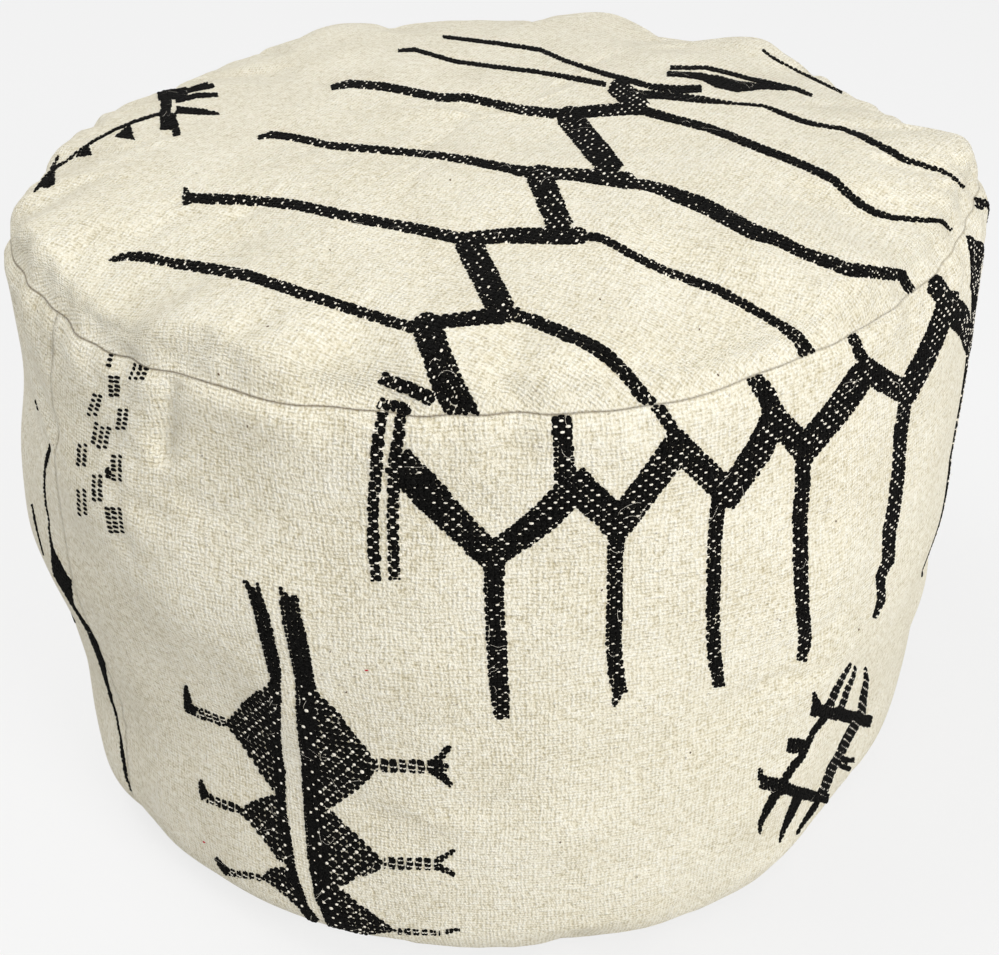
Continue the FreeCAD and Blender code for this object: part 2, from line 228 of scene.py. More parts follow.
pucker_rounds = rng.integers(*PUCKER_ROUNDS, PUCKER_COUNT)
pucker_phases = rng.uniform(0, 2 * math.pi, PUCKER_COUNT)
lump_waves = rng.normal(size=(LUMP_COUNT, 3))
lump_turns = 2 * math.pi / rng.uniform(*LUMP_SIZES, LUMP_COUNT)
lump_waves *= (lump_turns / np.linalg.norm(lump_waves, axis=1))[:, None]
lump_phases = rng.uniform(0, 2 * math.pi, LUMP_COUNT)


def around(pairs, column, azimuth, spread):
    """Smooth closed curve through values at azimuths, blurred by a Gaussian."""
    degrees = np.arange(-180, 180)
    rough = np.interp(degrees, [p[0] for p in pairs], [p[column] for p in pairs], period=360)
    blur = np.exp(-0.5 * (degrees / spread) ** 2)
    smooth = np.fft.ifft(np.fft.fft(rough) * np.fft.fft(np.fft.ifftshift(blur / blur.sum()))).real
    return np.interp(np.degrees(azimuth), degrees, smooth, period=360)


def ease(share):
    """Smooth step from 0 to 1."""
    share = np.clip(share, 0, 1)
    return share * share * (3 - 2 * share)


def groove(across, drop, line, width):
    """Gaussian of the distance to a line drawn over the band."""
    nearest = np.full(np.shape(across), np.inf)
    for (a0, d0), (a1, d1) in zip(line, line[1:]):
        x0, x1 = math.radians(a0) * BELLY_RADIUS, math.radians(a1) * BELLY_RADIUS
        dx, dy = x1 - x0, d1 - d0
        share = np.clip(((across - x0) * dx + (drop - d0) * dy) / (dx * dx + dy * dy), 0, 1)
        nearest = np.minimum(nearest, np.hypot(across - x0 - share * dx, drop - d0 - share * dy))
    return np.exp(-(nearest / width) ** 2)


# Cloth settled by a simulation on a coarse cover: its rings and sectors, the most that it may move, its
# frames, and how far from the seam and the floor it is held
SETTLE_RINGS = np.concatenate([np.linspace(8, SEAM, 36), np.linspace(SEAM, FLOOR, 54)[1:]])
SETTLE_AZIMUTHS = np.radians(np.arange(-180, 180, 2.0))
SETTLE_LIMIT = 4.0
SETTLE_FRAMES = 20
SETTLE_HELD_SEAM = 0.5
SETTLE_HELD_FOOT = 12.0
settled = np.zeros((2, len(SETTLE_RINGS), len(SETTLE_AZIMUTHS)))


def cubic_weights(share):
    """Catmull-Rom weights of four neighbours at a share of the way between the middle two."""
    t = share
    return [
        (-t + 2 * t ** 2 - t ** 3) / 2,
        (2 - 5 * t ** 2 + 3 * t ** 3) / 2,
        (t + 4 * t ** 2 - 3 * t ** 3) / 2,
        (t ** 3 - t ** 2) / 2,
    ]


def spread_over(moves, azimuth, station):
    """Moves of the coarse cover carried over to any place by cubic interpolation."""
    ring = np.interp(station, SETTLE_RINGS, np.arange(len(SETTLE_RINGS)))
    sector = (azimuth + math.pi) / (SETTLE_AZIMUTHS[1] - SETTLE_AZIMUTHS[0])
    low_ring = np.floor(ring).astype(int)
    low_sector = np.floor(sector).astype(int)
    total = np.zeros((2, *np.shape(ring)))
    if not moves.any():
        return total
    for a, weight_a in enumerate(cubic_weights(ring - low_ring)):
        row = np.clip(low_ring + a - 1, 0, len(SETTLE_RINGS) - 1)
        for b, weight_b in enumerate(cubic_weights(sector - low_sector)):
            column = (low_sector + b - 1) % len(SETTLE_AZIMUTHS)
            total += moves[:, row, column] * (weight_a * weight_b)
    return total


def sculpt(azimuth, station, radius, height, normal_r, normal_z):
    """Radial and upward moves of the cloth from its round form."""
    azimuth = (azimuth + math.pi) % (2 * math.pi) - math.pi
    drop = station - SEAM
    rise = FLOOR - station
    near_rim = np.exp(-(drop / np.where(drop < 0, RIM_REACH_TOP, RIM_REACH_BAND)) ** 2)
    outward = -around(RIM, 2, azimuth, RIM_SPREAD) * near_rim
    upward = -around(RIM, 1, azimuth, RIM_SPREAD) * near_rim
    near_foot = np.exp(-((rise - FOOT_MIDDLE) / FOOT_REACH) ** 2) * ease(rise / FOOT_SEAM_REACH)
    outward = outward - around(FOOT_DRAWN, 1, azimuth, FOOT_SPREAD) * near_foot
    across = azimuth * BELLY_RADIUS
    swell = np.zeros(np.shape(across))
    for degrees, depth, reach_across, reach_down, move in SWELLS:
        far = (across - math.radians(degrees) * BELLY_RADIUS) / reach_across
        swell += move * np.exp(-far ** 2 - ((drop - depth) / reach_down) ** 2)
    for line, width, move in FOLDS:
        swell += move * groove(across, drop, line, width)
    waves = [np.sin(n * azimuth + phase) for n, phase in zip(pucker_rounds, pucker_phases)]
    swell += PUCKER * sum(waves) * np.exp(-np.abs(drop) / PUCKER_REACH)
    x, y = radius * np.sin(azimuth), -radius * np.cos(azimuth)
    lumps = [np.sin(k[0] * x + k[1] * y + k[2] * height + phase) for k, phase in zip(lump_waves, lump_phases)]
    swell += LUMP * sum(lumps) * ease(rise / LUMP_EDGE)
    above = np.maximum(-drop, 0) / SHOULDER_WIDTH
    swell -= SHOULDER_FLATTEN * above * np.exp(1 - above)
    near_seam = np.exp(-(drop / SEAM_PINCH) ** 2)
    settled_out, settled_up = spread_over(settled, azimuth, station)
    outward = outward + settled_out + swell * (normal_r + (1 - normal_r) * near_seam)
    upward = upward + settled_up + swell * normal_z * (1 - near_seam)
    return outward, upward


def cover(azimuth, station, lift=0.0):
    """Points of the cover's outer face, lifted along the half section's normal."""
    azimuth, station = np.broadcast_arrays(azimuth, station)
    radius, height, normal_r, normal_z = section(station)
    outward, upward = sculpt(azimuth, station, radius, height, normal_r, normal_z)
    reach = radius + outward + lift * normal_r
    return np.stack([
        reach * np.sin(azimuth),
        -reach * np.cos(azimuth),
        height + upward + lift * normal_z,
    ], axis=-1)


def top_place(u, v, lift=0.0):
    """Point over the top panel's thread coordinates: a turned disc that keeps distances from the middle."""
    turn = math.radians(TOP_TURN)
    x = u * math.cos(turn) - v * math.sin(turn)
    y = u * math.sin(turn) + v * math.cos(turn)
    return cover(np.arctan2(x, -y), np.minimum(np.hypot(x, y), SEAM - CREASE), lift)


def band_place(u, v, lift=0.0):
    """Point over the band's thread coordinates: u round the belly from the front, v down from the seam."""
    return cover(u / BELLY_RADIUS, np.clip(SEAM + CREASE + v, SEAM + CREASE, FLOOR), lift)


# Camera as a projection of millimetres to pixels
elevation = math.radians(EYE_ELEVATION)
roll = math.radians(EYE_ROLL)
FORWARD = np.array([0.0, math.cos(elevation), -math.sin(elevation)])
level_right = np.array([1.0, 0.0, 0.0])
level_up = np.cross(level_right, FORWARD)
RIGHT = level_right * math.cos(roll) + level_up * math.sin(roll)
UP = np.cross(RIGHT, FORWARD)


def to_pixels(points):
    """Pixel columns and rows of points: offset from the image's centre = focal length x sideways / depth."""
    seen = points - EYE
    depth = seen @ FORWARD
    column = IMAGE_WIDTH / 2 + CENTRE_SHIFT[0] + FOCAL_PIXELS * (seen @ RIGHT) / depth
    row = IMAGE_HEIGHT / 2 + CENTRE_SHIFT[1] - FOCAL_PIXELS * (seen @ UP) / depth
    return column, row


def aim_camera():
    """Camera at the eye, with the picture's centre shifted as measured."""
    data = bpy.data.cameras.new("camera")
    data.sensor_fit = "HORIZONTAL"
    data.sensor_width = SENSOR
    data.lens = FOCAL_PIXELS * SENSOR / IMAGE_WIDTH
    data.shift_x = -CENTRE_SHIFT[0] / IMAGE_WIDTH
    data.shift_y = CENTRE_SHIFT[1] / IMAGE_WIDTH
    data.clip_start = 0.05
    camera = bpy.data.objects.new("camera", data)
    bpy.context.scene.collection.objects.link(camera)
    turn = Matrix(np.column_stack([RIGHT, UP, -FORWARD]).tolist()).to_4x4()
    camera.matrix_world = Matrix.Translation(EYE * MM) @ turn
    bpy.context.scene.camera = camera


# Figures of the cloth, as strokes of (column, row, width) in pixels and as filled outlines of (column, row)
TOP_DOTTED = {
    "zigzag": [
        [(613, 84, 18), (619, 89, 20), (638, 105, 20), (643, 110, 18)],
        [(647, 108, 12), (600, 111, 12), (560, 115, 12)],
        [(567, 115, 25), (570, 119, 25), (608, 165, 25), (614, 173, 25)],
        [(634, 183, 12), (627, 181, 17), (575, 175, 12), (515, 171, 10)],
        [(537, 172, 26), (540, 178, 26), (558, 221, 26), (561, 228, 26)],
        [(586, 236, 12), (578, 236, 18), (511, 236, 15), (455, 239, 12)],
        [(467, 241, 28), (470, 247, 28), (499, 305, 28), (502, 311, 28)],
        [(520, 315, 13), (500, 316, 16), (440, 322, 13), (408, 328, 11)],
        [(424, 322, 28), (427, 328, 30), (448, 385, 32), (462, 414, 32), (468, 428, 32)],
    ],
    "right_lines": [
        [(510, 314, 12), (536, 322, 13), (556, 330, 13), (586, 343, 13), (606, 355, 14), (625, 373, 14),
         (638, 389, 14), (650, 403, 14), (664, 420, 14)],
        [(576, 236, 9), (601, 238, 8), (618, 247, 8), (645, 262, 8), (672, 274, 9), (718, 290, 9),
         (780, 325, 9), (800, 340, 14), (811, 359, 19)],
        [(628, 183, 9), (654, 187, 11), (677, 196, 14), (702, 205, 16), (727, 218, 16), (753, 232, 16),
         (778, 240, 13), (800, 252, 12), (850, 270, 13), (900, 275, 12), (912, 292, 9)],
    ],
    "left_lines": [
        [(108, 261, 3), (124, 257, 8), (143, 257, 10), (172, 263, 10), (210, 269, 11), (249, 276, 11),
         (300, 293, 11), (360, 312, 11), (412, 328, 11)],
        [(186, 188, 4), (186, 197, 8), (201, 199, 10), (239, 200, 10), (268, 202, 10), (300, 206, 10),
         (350, 217, 10), (420, 230, 11), (460, 239, 12)],
        [(183, 204, 4), (194, 199, 7)],
        [(258, 138, 4), (272, 135, 7), (300, 139, 7), (330, 146, 7), (400, 152, 7), (440, 156, 7),
         (470, 161, 8), (520, 171, 9)],
        [(331, 88, 5), (350, 84, 8), (385, 87, 8), (440, 98, 8), (467, 98, 8), (490, 103, 8), (520, 110, 9),
         (562, 115, 10)],
    ],
    "seam_bar": [
        [(381, 377, 13), (394, 383, 13), (410, 389, 13), (424, 395, 13), (434, 401, 13)],
        [(378, 402, 10), (394, 406, 11), (410, 410, 11)],
    ],
}
TOP_SOLID = {
    "thin_lines": [
        [(398, 51, 3), (415, 50, 4), (456, 62, 4), (494, 67, 4), (536, 72, 4), (576, 79, 5), (606, 85, 5)],
        [(443, 37, 3), (500, 44, 4), (540, 50, 4), (565, 61, 4), (583, 67, 4), (601, 73, 5), (627, 80, 5),
         (651, 87, 6), (676, 90, 8), (702, 89, 7)],
        [(633, 94, 8), (664, 96, 7), (702, 100, 7), (727, 103, 3), (763, 106, 2.5), (783, 114, 5),
         (804, 122, 5), (816, 125, 4), (842, 129, 4), (865, 138, 6), (888, 150, 7), (905, 160, 6),
         (931, 168, 5), (951, 175, 4), (964, 188, 2.5)],
        [(640, 110, 9), (676, 120, 8), (707, 128, 8), (732, 137, 8), (758, 148, 8), (783, 157, 8),
         (811, 169, 8), (834, 180, 8), (847, 193, 8), (860, 204, 8), (875, 213, 7), (893, 218, 5),
         (918, 220, 5), (941, 221, 4), (951, 230, 4)],
        [(670, 68, 4), (707, 68, 4), (727, 73, 4), (753, 80, 4), (778, 85, 4), (798, 90, 4), (812, 96, 3)],
        [(667, 74, 5), (684, 75, 5), (702, 77, 7), (717, 82, 12), (737, 87, 11), (763, 87, 5), (788, 89, 4)],
        [(762, 50, 2.5), (776, 60, 2.5), (793, 69, 2.5), (842, 93, 2.5)],
    ],
    "comb": [
        [(34, 193, 2.5), (44, 179, 3), (57, 167, 3), (67, 161, 2.5), (80, 150, 2.5), (96, 140, 2.5),
         (115, 130, 2.5), (134, 122, 3), (153, 116, 3), (165, 113, 3)],
        [(51, 171, 3), (59, 156, 3)],
        [(168, 89, 11), (166, 106, 11), (165, 130, 10)],
        [(158, 97, 8), (187, 92, 9)],
        [(172, 114, 8), (177, 136, 8)],
        [(178, 93, 5), (201, 88, 5), (214, 86, 4)],
        [(191, 89, 3), (208, 84, 3)],
        [(176, 101, 5), (197, 96, 5), (218, 95, 4)],
        [(176, 110, 7), (201, 112, 6), (220, 114, 2)],
    ],
}
TOP_FILLED = {
    "comb_triangles": [
        [(38, 186), (55, 167), (55, 184), (47, 189)],
        [(74, 158), (88, 144), (92, 155)],
        [(114, 137), (130, 125), (135, 140)],
    ],
}
BAND_DOTTED = {
    "zigzag": [
        [(396, 459, 32), (423, 488, 35), (446, 512, 32), (469, 536, 30), (496, 560, 28)],
        [(490, 557, 26), (521, 536, 28), (545, 517, 30), (566, 496, 30)],
        [(562, 398, 20), (562, 434, 20), (564, 456, 20), (566, 490, 24)],
        [(571, 477, 32), (580, 488, 34), (601, 508, 33), (624, 528, 30)],
        [(610, 538, 25), (620, 524, 28), (678, 445, 30), (684, 437, 30)],
        [(656, 404, 13), (669, 425, 13), (682, 442, 18)],
        [(672, 438, 28), (678, 445, 28), (707, 474, 27), (733, 499, 25)],
        [(722, 502, 25), (728, 494, 26), (759, 450, 27), (778, 410, 26)],
        [(750, 370, 17), (756, 381, 18), (767, 395, 19), (776, 420, 22)],
        [(768, 411, 26), (774, 417, 27), (804, 450, 26), (810, 457, 24)],
        [(799, 457, 24), (804, 450, 26), (839, 408, 27), (870, 364, 27)],
        [(848, 328, 11), (854, 340, 11), (861, 356, 12), (868, 372, 16)],
        [(858, 364, 24), (866, 370, 25), (911, 397, 22)],
        [(901, 401, 20), (906, 393, 22), (926, 356, 21), (933, 340, 20), (945, 310, 20), (950, 290, 18)],
    ],
    "drops": [
        [(494, 556, 22), (494, 585, 21), (495, 609, 20), (497, 660, 20), (500, 700, 18), (502, 719, 15)],
        [(617, 528, 17), (615, 559, 16), (615, 587, 16), (614, 614, 16), (613, 640, 16), (617, 680, 16),
         (621, 694, 15)],
        [(618, 694, 8), (613, 706, 5)],
        [(719, 498, 15), (715, 532, 14), (714, 559, 14), (713, 614, 14), (713, 640, 14), (716, 668, 14),
         (719, 687, 11)],
        [(803, 455, 16), (802, 491, 15), (800, 518, 15), (800, 559, 15), (802, 600, 14), (805, 640, 13),
         (801, 661, 10)],
        [(905, 400, 13), (900, 436, 13), (898, 472, 13), (894, 504, 13), (889, 532, 13), (888, 560, 12),
         (880, 576, 9), (881, 600, 8), (874, 618, 4)],
    ],
    "ladder": [
        [(384, 404, 11), (382, 416, 11), (379, 431, 12), (377, 450, 12), (376, 474, 12), (373, 506, 11),
         (373, 537, 11), (375, 569, 11), (376, 581, 11)],
        [(402, 402, 11), (401, 413, 11), (399, 434, 12), (395, 453, 12), (394, 482, 12), (393, 513, 12),
         (393, 545, 12), (394, 569, 12), (395, 580, 12)],
    ],
    "hash_rods": [
        [(829, 706, 8), (836, 689, 7), (843, 676, 5), (851, 663, 2.5)],
        [(841, 708, 6), (847, 689, 6), (853, 676, 4), (855, 666, 2.5)],
        [(861, 713, 8), (863, 696, 7), (866, 681, 5), (865, 667, 2.5)],
        [(856, 722, 9), (846, 740, 9), (839, 755, 9), (831, 769, 9), (826, 783, 9), (819, 799, 9)],
    ],
}
BAND_SOLID = {
    "column_bars": [
        [(253, 588, 13), (259, 606, 13), (266, 632, 14), (273, 661, 13), (276, 678, 11), (276, 737, 9),
         (281, 773, 9), (282, 809, 9), (288, 845, 9), (293, 876, 9), (305, 909, 9), (316, 922, 8)],
        [(245, 580, 4), (252, 592, 7)],
        [(258, 582, 4), (257, 594, 6)],
        [(288, 596, 18), (293, 623, 20), (299, 649, 20), (305, 678, 19), (305, 713, 18), (310, 761, 18),
         (313, 809, 18), (317, 857, 18), (323, 893, 18), (338, 926, 18), (345, 936, 18)],
        [(280, 586, 4), (286, 600, 9)],
        [(298, 599, 4), (295, 610, 8)],
    ],
    "hash": [
        [(811, 709, 13), (827, 712, 13), (847, 716, 13), (871, 722, 12)],
        [(813, 692, 3), (817, 704, 9)],
        [(824, 718, 7), (814, 730, 6), (808, 742, 6), (802, 756, 7), (792, 767, 8), (784, 780, 8)],
        [(787, 745, 15), (805, 747, 15)],
        [(836, 759, 5), (854, 760, 5)],
        [(834, 764, 5), (850, 769, 5)],
        [(760, 781, 14), (780, 786, 14), (800, 793, 12), (828, 799, 10)],
        [(760, 768, 4), (761, 780, 8)],
        [(777, 792, 10), (768, 807, 8), (761, 821, 5), (759, 834, 2.5)],
        [(799, 794, 9), (790, 814, 8), (783, 830, 5), (779, 843, 2.5)],
        [(816, 804, 6), (807, 817, 5), (800, 827, 3), (796, 835, 2.5)],
    ],
    "checker_joins": [
        [(107, 468, 5), (109, 474, 6), (108, 478, 5)],
        [(98, 480, 4), (102, 482, 4)],
    ],
    "hands": [
        [(432, 764, 8), (441, 756, 8), (450, 746, 5)],
        [(432, 770, 8), (443, 777, 8), (452, 786, 5)],
        [(434, 767, 9), (448, 767, 8)],
        [(436, 862, 7), (446, 856, 6), (455, 850, 4)],
        [(436, 866, 7), (446, 870, 6), (455, 875, 4)],
        [(445, 932, 5), (460, 929, 3)],
        [(186, 685, 3), (187, 696, 7), (189, 708, 9), (197, 712, 9)],
        [(201, 780, 3), (203, 790, 7), (206, 799, 9)],
        [(216, 857, 3), (222, 866, 6), (229, 873, 7)],
    ],
}
BAND_POSTS = {
    "arms": [
        [(376, 765, 13), (433, 767, 13)],
        [(384, 863, 12), (436, 864, 12)],
        [(398, 931, 6), (440, 933, 5)],
        [(226, 723, 9), (199, 712, 10)],
        [(240, 810, 8), (208, 798, 9)],
        [(263, 878, 6), (230, 872, 7)],
    ],
}
BAND_DIAMONDS = {
    "right_half_diamonds": [
        [(300, 678), (315, 682), (319, 694), (338, 711), (354, 733), (371, 754), (378, 764), (371, 778),
         (357, 792), (333, 807), (305, 809)],
        [(308, 806), (331, 809), (347, 826), (369, 845), (383, 862), (378, 871), (362, 876), (343, 886),
         (315, 890)],
        [(318, 884), (343, 888), (362, 905), (383, 921), (397, 931), (371, 934), (347, 938), (333, 932)],
    ],
    "left_half_diamonds": [
        [(279, 675), (272, 680), (244, 701), (224, 723), (240, 742), (256, 768), (273, 790), (283, 792)],
        [(283, 793), (259, 798), (237, 810), (252, 826), (268, 845), (280, 862), (291, 866)],
        [(290, 866), (268, 869), (261, 878), (276, 888), (292, 902), (310, 917)],
    ],
}
# Figures that the eye sees nearly edge on, in millimetres round the belly, down from the seam and in width:
# places picked in the photograph, carried over to the cloth by a separate script and adjusted by hand
SIDE_DOTTED = {
    "last_arms": [
        [(256, 0, 13), (264, 10, 14), (279, 27, 15), (306, 47, 15), (336, 73, 15)],
    ],
    "last_drop": [
        [(334, 74, 11), (328, 92, 10), (323, 116, 10), (319, 132, 10), (314, 147, 9), (310, 162, 8),
         (308, 182, 7), (306, 204, 4)],
    ],
}
SIDE_SOLID = {
    "seam_bits": [
        [(357, 0, 3.5), (366, 6, 4), (374, 13, 4), (376, 21, 3)],
        [(349, 1, 1.8), (363, 8, 1.8)],
    ],
    "left_line": [
        [(-258, 75, 3.5), (-263, 84, 3.5), (-268, 93, 2.6), (-271, 106, 2), (-271, 118, 2), (-270, 130, 2),
         (-268, 140, 3), (-266, 146, 6)],
        [(-262, 168, 7), (-256, 179, 7), (-252, 185, 8), (-251, 189, 9), (-253, 199, 9), (-253, 208, 9),
         (-257, 221, 7), (-263, 237, 4.5), (-265, 247, 5), (-263, 252, 4), (-260, 262, 3), (-256, 271, 3.5),
         (-254, 277, 4.5), (-252, 285, 3.5), (-251, 295, 3), (-248, 302, 2)],
    ],
    "left_short_line": [
        [(-305, 136, 4), (-300, 142, 6), (-297, 147, 5), (-292, 151, 3), (-288, 158, 2.5)],
        [(-280, 61, 1.8), (-278, 66, 1.8)],
        [(-316, 219, 4), (-320, 230, 4)],
    ],
}
SIDE_DOTTED_FILLED = {
    "last_arm": [
        [(314, 2), (340, 17), (362, 34), (374, 58), (362, 76), (345, 81), (333, 79), (333, 73), (340, 66),
         (323, 46), (307, 26), (310, 14), (311, 6)],
    ],
}
SIDE_FILLED = {
    "left_lozenge": [
        [(-268, 139), (-250, 151), (-257, 173), (-274, 162)],
    ],
}
# Checker of dashes: the middle of each group, its columns and rows, and how far each row leans to the right
DASH_GROUPS = [
    (110, 360, 1, 3, -1.2), (139, 371, 3, 4, -1.8), (114, 386, 2, 5, 0.0), (95, 405, 2, 5, -1.3),
    (122, 419, 2, 5, -0.7), (95, 433, 1, 5, -0.9), (104, 437, 2, 5, -1.0), (82, 455, 2, 5, -0.3),
    (117, 468, 2, 6, 0.0), (97, 488, 2, 6, 0.0), (82, 502, 2, 6, 0.2), (115, 520, 3, 6, 0.7),
]
DASH_STEP = (6.2, 4.6)
BAND_FLECKS = [
    (836, 521), (780, 620), (858, 630), (248, 426), (330, 652), (346, 692), (602, 590), (690, 752),
    (560, 842),
]
TOP_FLECKS = [
    (718, 374), (219, 374), (268, 327), (640, 190), (700, 330), (450, 180), (330, 250), (600, 300),
]
RED_FLECKS = [(367, 670), (204, 842)]


def on_strokes(column, row, figures):
    """Which places lie within half the width of a stroke, the width running evenly along each segment; a
    stroke's two ends are cut square."""
    inside = np.zeros(np.shape(column), bool)
    for stroke in [stroke for group in figures.values() for stroke in group]:
        for k, ((x0, y0, w0), (x1, y1, w1)) in enumerate(zip(stroke, stroke[1:])):
            margin = max(w0, w1) / 2
            near = (column > min(x0, x1) - margin) & (column < max(x0, x1) + margin)
            near &= (row > min(y0, y1) - margin) & (row < max(y0, y1) + margin)
            x, y = column[near] - x0, row[near] - y0
            dx, dy = x1 - x0, y1 - y0
            along = (x * dx + y * dy) / (dx * dx + dy * dy)
            share = np.clip(along, 0, 1)
            within = np.hypot(x - share * dx, y - share * dy) < (w0 + share * (w1 - w0)) / 2
            within &= (along >= 0) | (k > 0)
            within &= (along <= 1) | (k < len(stroke) - 2)
            inside[near] |= within
    return inside


def in_outlines(column, row, figures):
    """Which places lie inside a filled outline, by the even-odd rule."""
    inside = np.zeros(np.shape(column), bool)
    for outline in [outline for group in figures.values() for outline in group]:
        odd = np.zeros(np.shape(column), bool)
        for (x0, y0), (x1, y1) in zip(outline, outline[1:] + outline[:1]):
            crosses = (y0 > row) != (y1 > row)
            span = y1 - y0 if y1 != y0 else 1
            odd ^= crosses & (column < x0 + (row - y0) * (x1 - x0) / span)
        inside |= odd
    return inside


# Meshes
SLIVER = 0.02


def grid_faces(rows, columns, closed):
    """Quads between neighbours of a grid, round its columns as well where it is closed."""
    across = columns if closed else columns - 1
    i, j = np.meshgrid(np.arange(rows - 1), np.arange(across), indexing="ij")
    k = (j + 1) % columns
    above, below = i * columns, (i + 1) * columns
    return np.stack([above + j, below + j, below + k, above + k], axis=-1).reshape(-1, 4)


def end_faces(rows, columns):
    """The two faces that close a round grid, at its first ring and at its last."""
    last = (rows - 1) * columns
    return [list(range(columns)), list(range(last, last + columns))[::-1]]


def without_slivers(points, faces):
    """The points that quads of some area use, and those quads numbered anew."""
    corners = points[faces]
    doubled = np.cross(corners[:, 2] - corners[:, 0], corners[:, 3] - corners[:, 1])
    used, numbers = np.unique(faces[np.linalg.norm(doubled, axis=1) > SLIVER], return_inverse=True)
    return used, numbers.reshape(-1, 4)


def make_piece(name, points, faces, material, body, attributes=None):
    """Smooth-shaded mesh from points in millimetres, riding on a body and taking a material."""
    mesh = bpy.data.meshes.new(name)
    mesh.from_pydata((points.reshape(-1, 3) * MM).tolist(), [], [list(face) for face in faces])
    for key, value in (attributes or {}).items():
        kind = "FLOAT_VECTOR" if value.shape[-1] == 3 and value.ndim > 1 else "FLOAT"
        field = "vector" if kind == "FLOAT_VECTOR" else "value"
        mesh.attributes.new(key, kind, "POINT").data.foreach_set(field, value.astype(np.float32).ravel())
    mesh.shade_smooth()
    mesh.materials.append(material)
    piece = bpy.data.objects.new(name, mesh)
    bpy.context.scene.collection.objects.link(piece)
    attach(piece, body)
    return piece


def thicken(piece, thickness):
    """Wall of cloth behind the outer face."""
    wall = piece.modifiers.new("wall", "SOLIDIFY")
    wall.thickness = thickness * MM
    wall.offset = -1.0


def linear(colour):
    """Linear RGBA of an sRGB hex colour."""
    shares = [int(colour[k:k + 2], 16) / 255 for k in (1, 3, 5)]
    return [s / 12.92 if s <= 0.04045 else ((s + 0.055) / 1.055) ** 2.4 for s in shares] + [1.0]


def add_node(tree, kind, links=None, **settings):
    """Adds a node: settings are its properties, and links fill inputs with values or other nodes' sockets."""
    made = tree.nodes.new(kind)
    for key, value in settings.items():
        setattr(made, key, value)
    for key, value in (links or {}).items():
        if isinstance(value, bpy.types.NodeSocket):
            tree.links.new(value, made.inputs[key])
        else:
            made.inputs[key].default_value = value
    return made


def new_material(name):
    """Empty node material with its shader and output."""
    material = bpy.data.materials.new(name)
    material.use_nodes = True
    tree = material.node_tree
    tree.nodes.clear()
    shader = add_node(tree, "ShaderNodeBsdfPrincipled")
    add_node(tree, "ShaderNodeOutputMaterial", {"Surface": shader.outputs[0]})
    return material, tree, shader


def set_stops(ramp, first, last, *between):
    """Positions and colours of a colour ramp's two ends and of the stops between them."""
    stops = ramp.color_ramp.elements
    for stop, (position, colour) in zip(stops, (first, last)):
        stop.position = position
        stop.color = linear(colour)
    for position, colour in between:
        stops.new(position).color = linear(colour)


# Wool: how far a thread rises and falls at a crossing, sizes in millimetres of its uneven stretches, fuzz,
# felt, blotches and specks, and how much each adds to the height and to the tone; the threads' part of the
# tone is painted shade, darker in the gaps between them
THREAD_RISE = 0.55
THREAD_FALL = 0.45
WANDERS = ((40, 7.0), (6, 0.8))
STREAKS = ((26, 2.0), (2.4, 26))
FUZZ_SIZE = 1.3
FELT_SIZE = 4
BLOTCH_SIZE = 40
SPECK_SIZE = 2.6
THREAD_HEIGHT = 0.45
FELT_HEIGHT = 0.9
FUZZ_HEIGHT = 1.3
# Painted shade in the gaps between threads
PAINTED_THREAD_GAP_SHADE = 0.44
BLOTCH_SHADE = 0.16
FELT_SHADE = 0.36
FUZZ_SHADE = 0.6


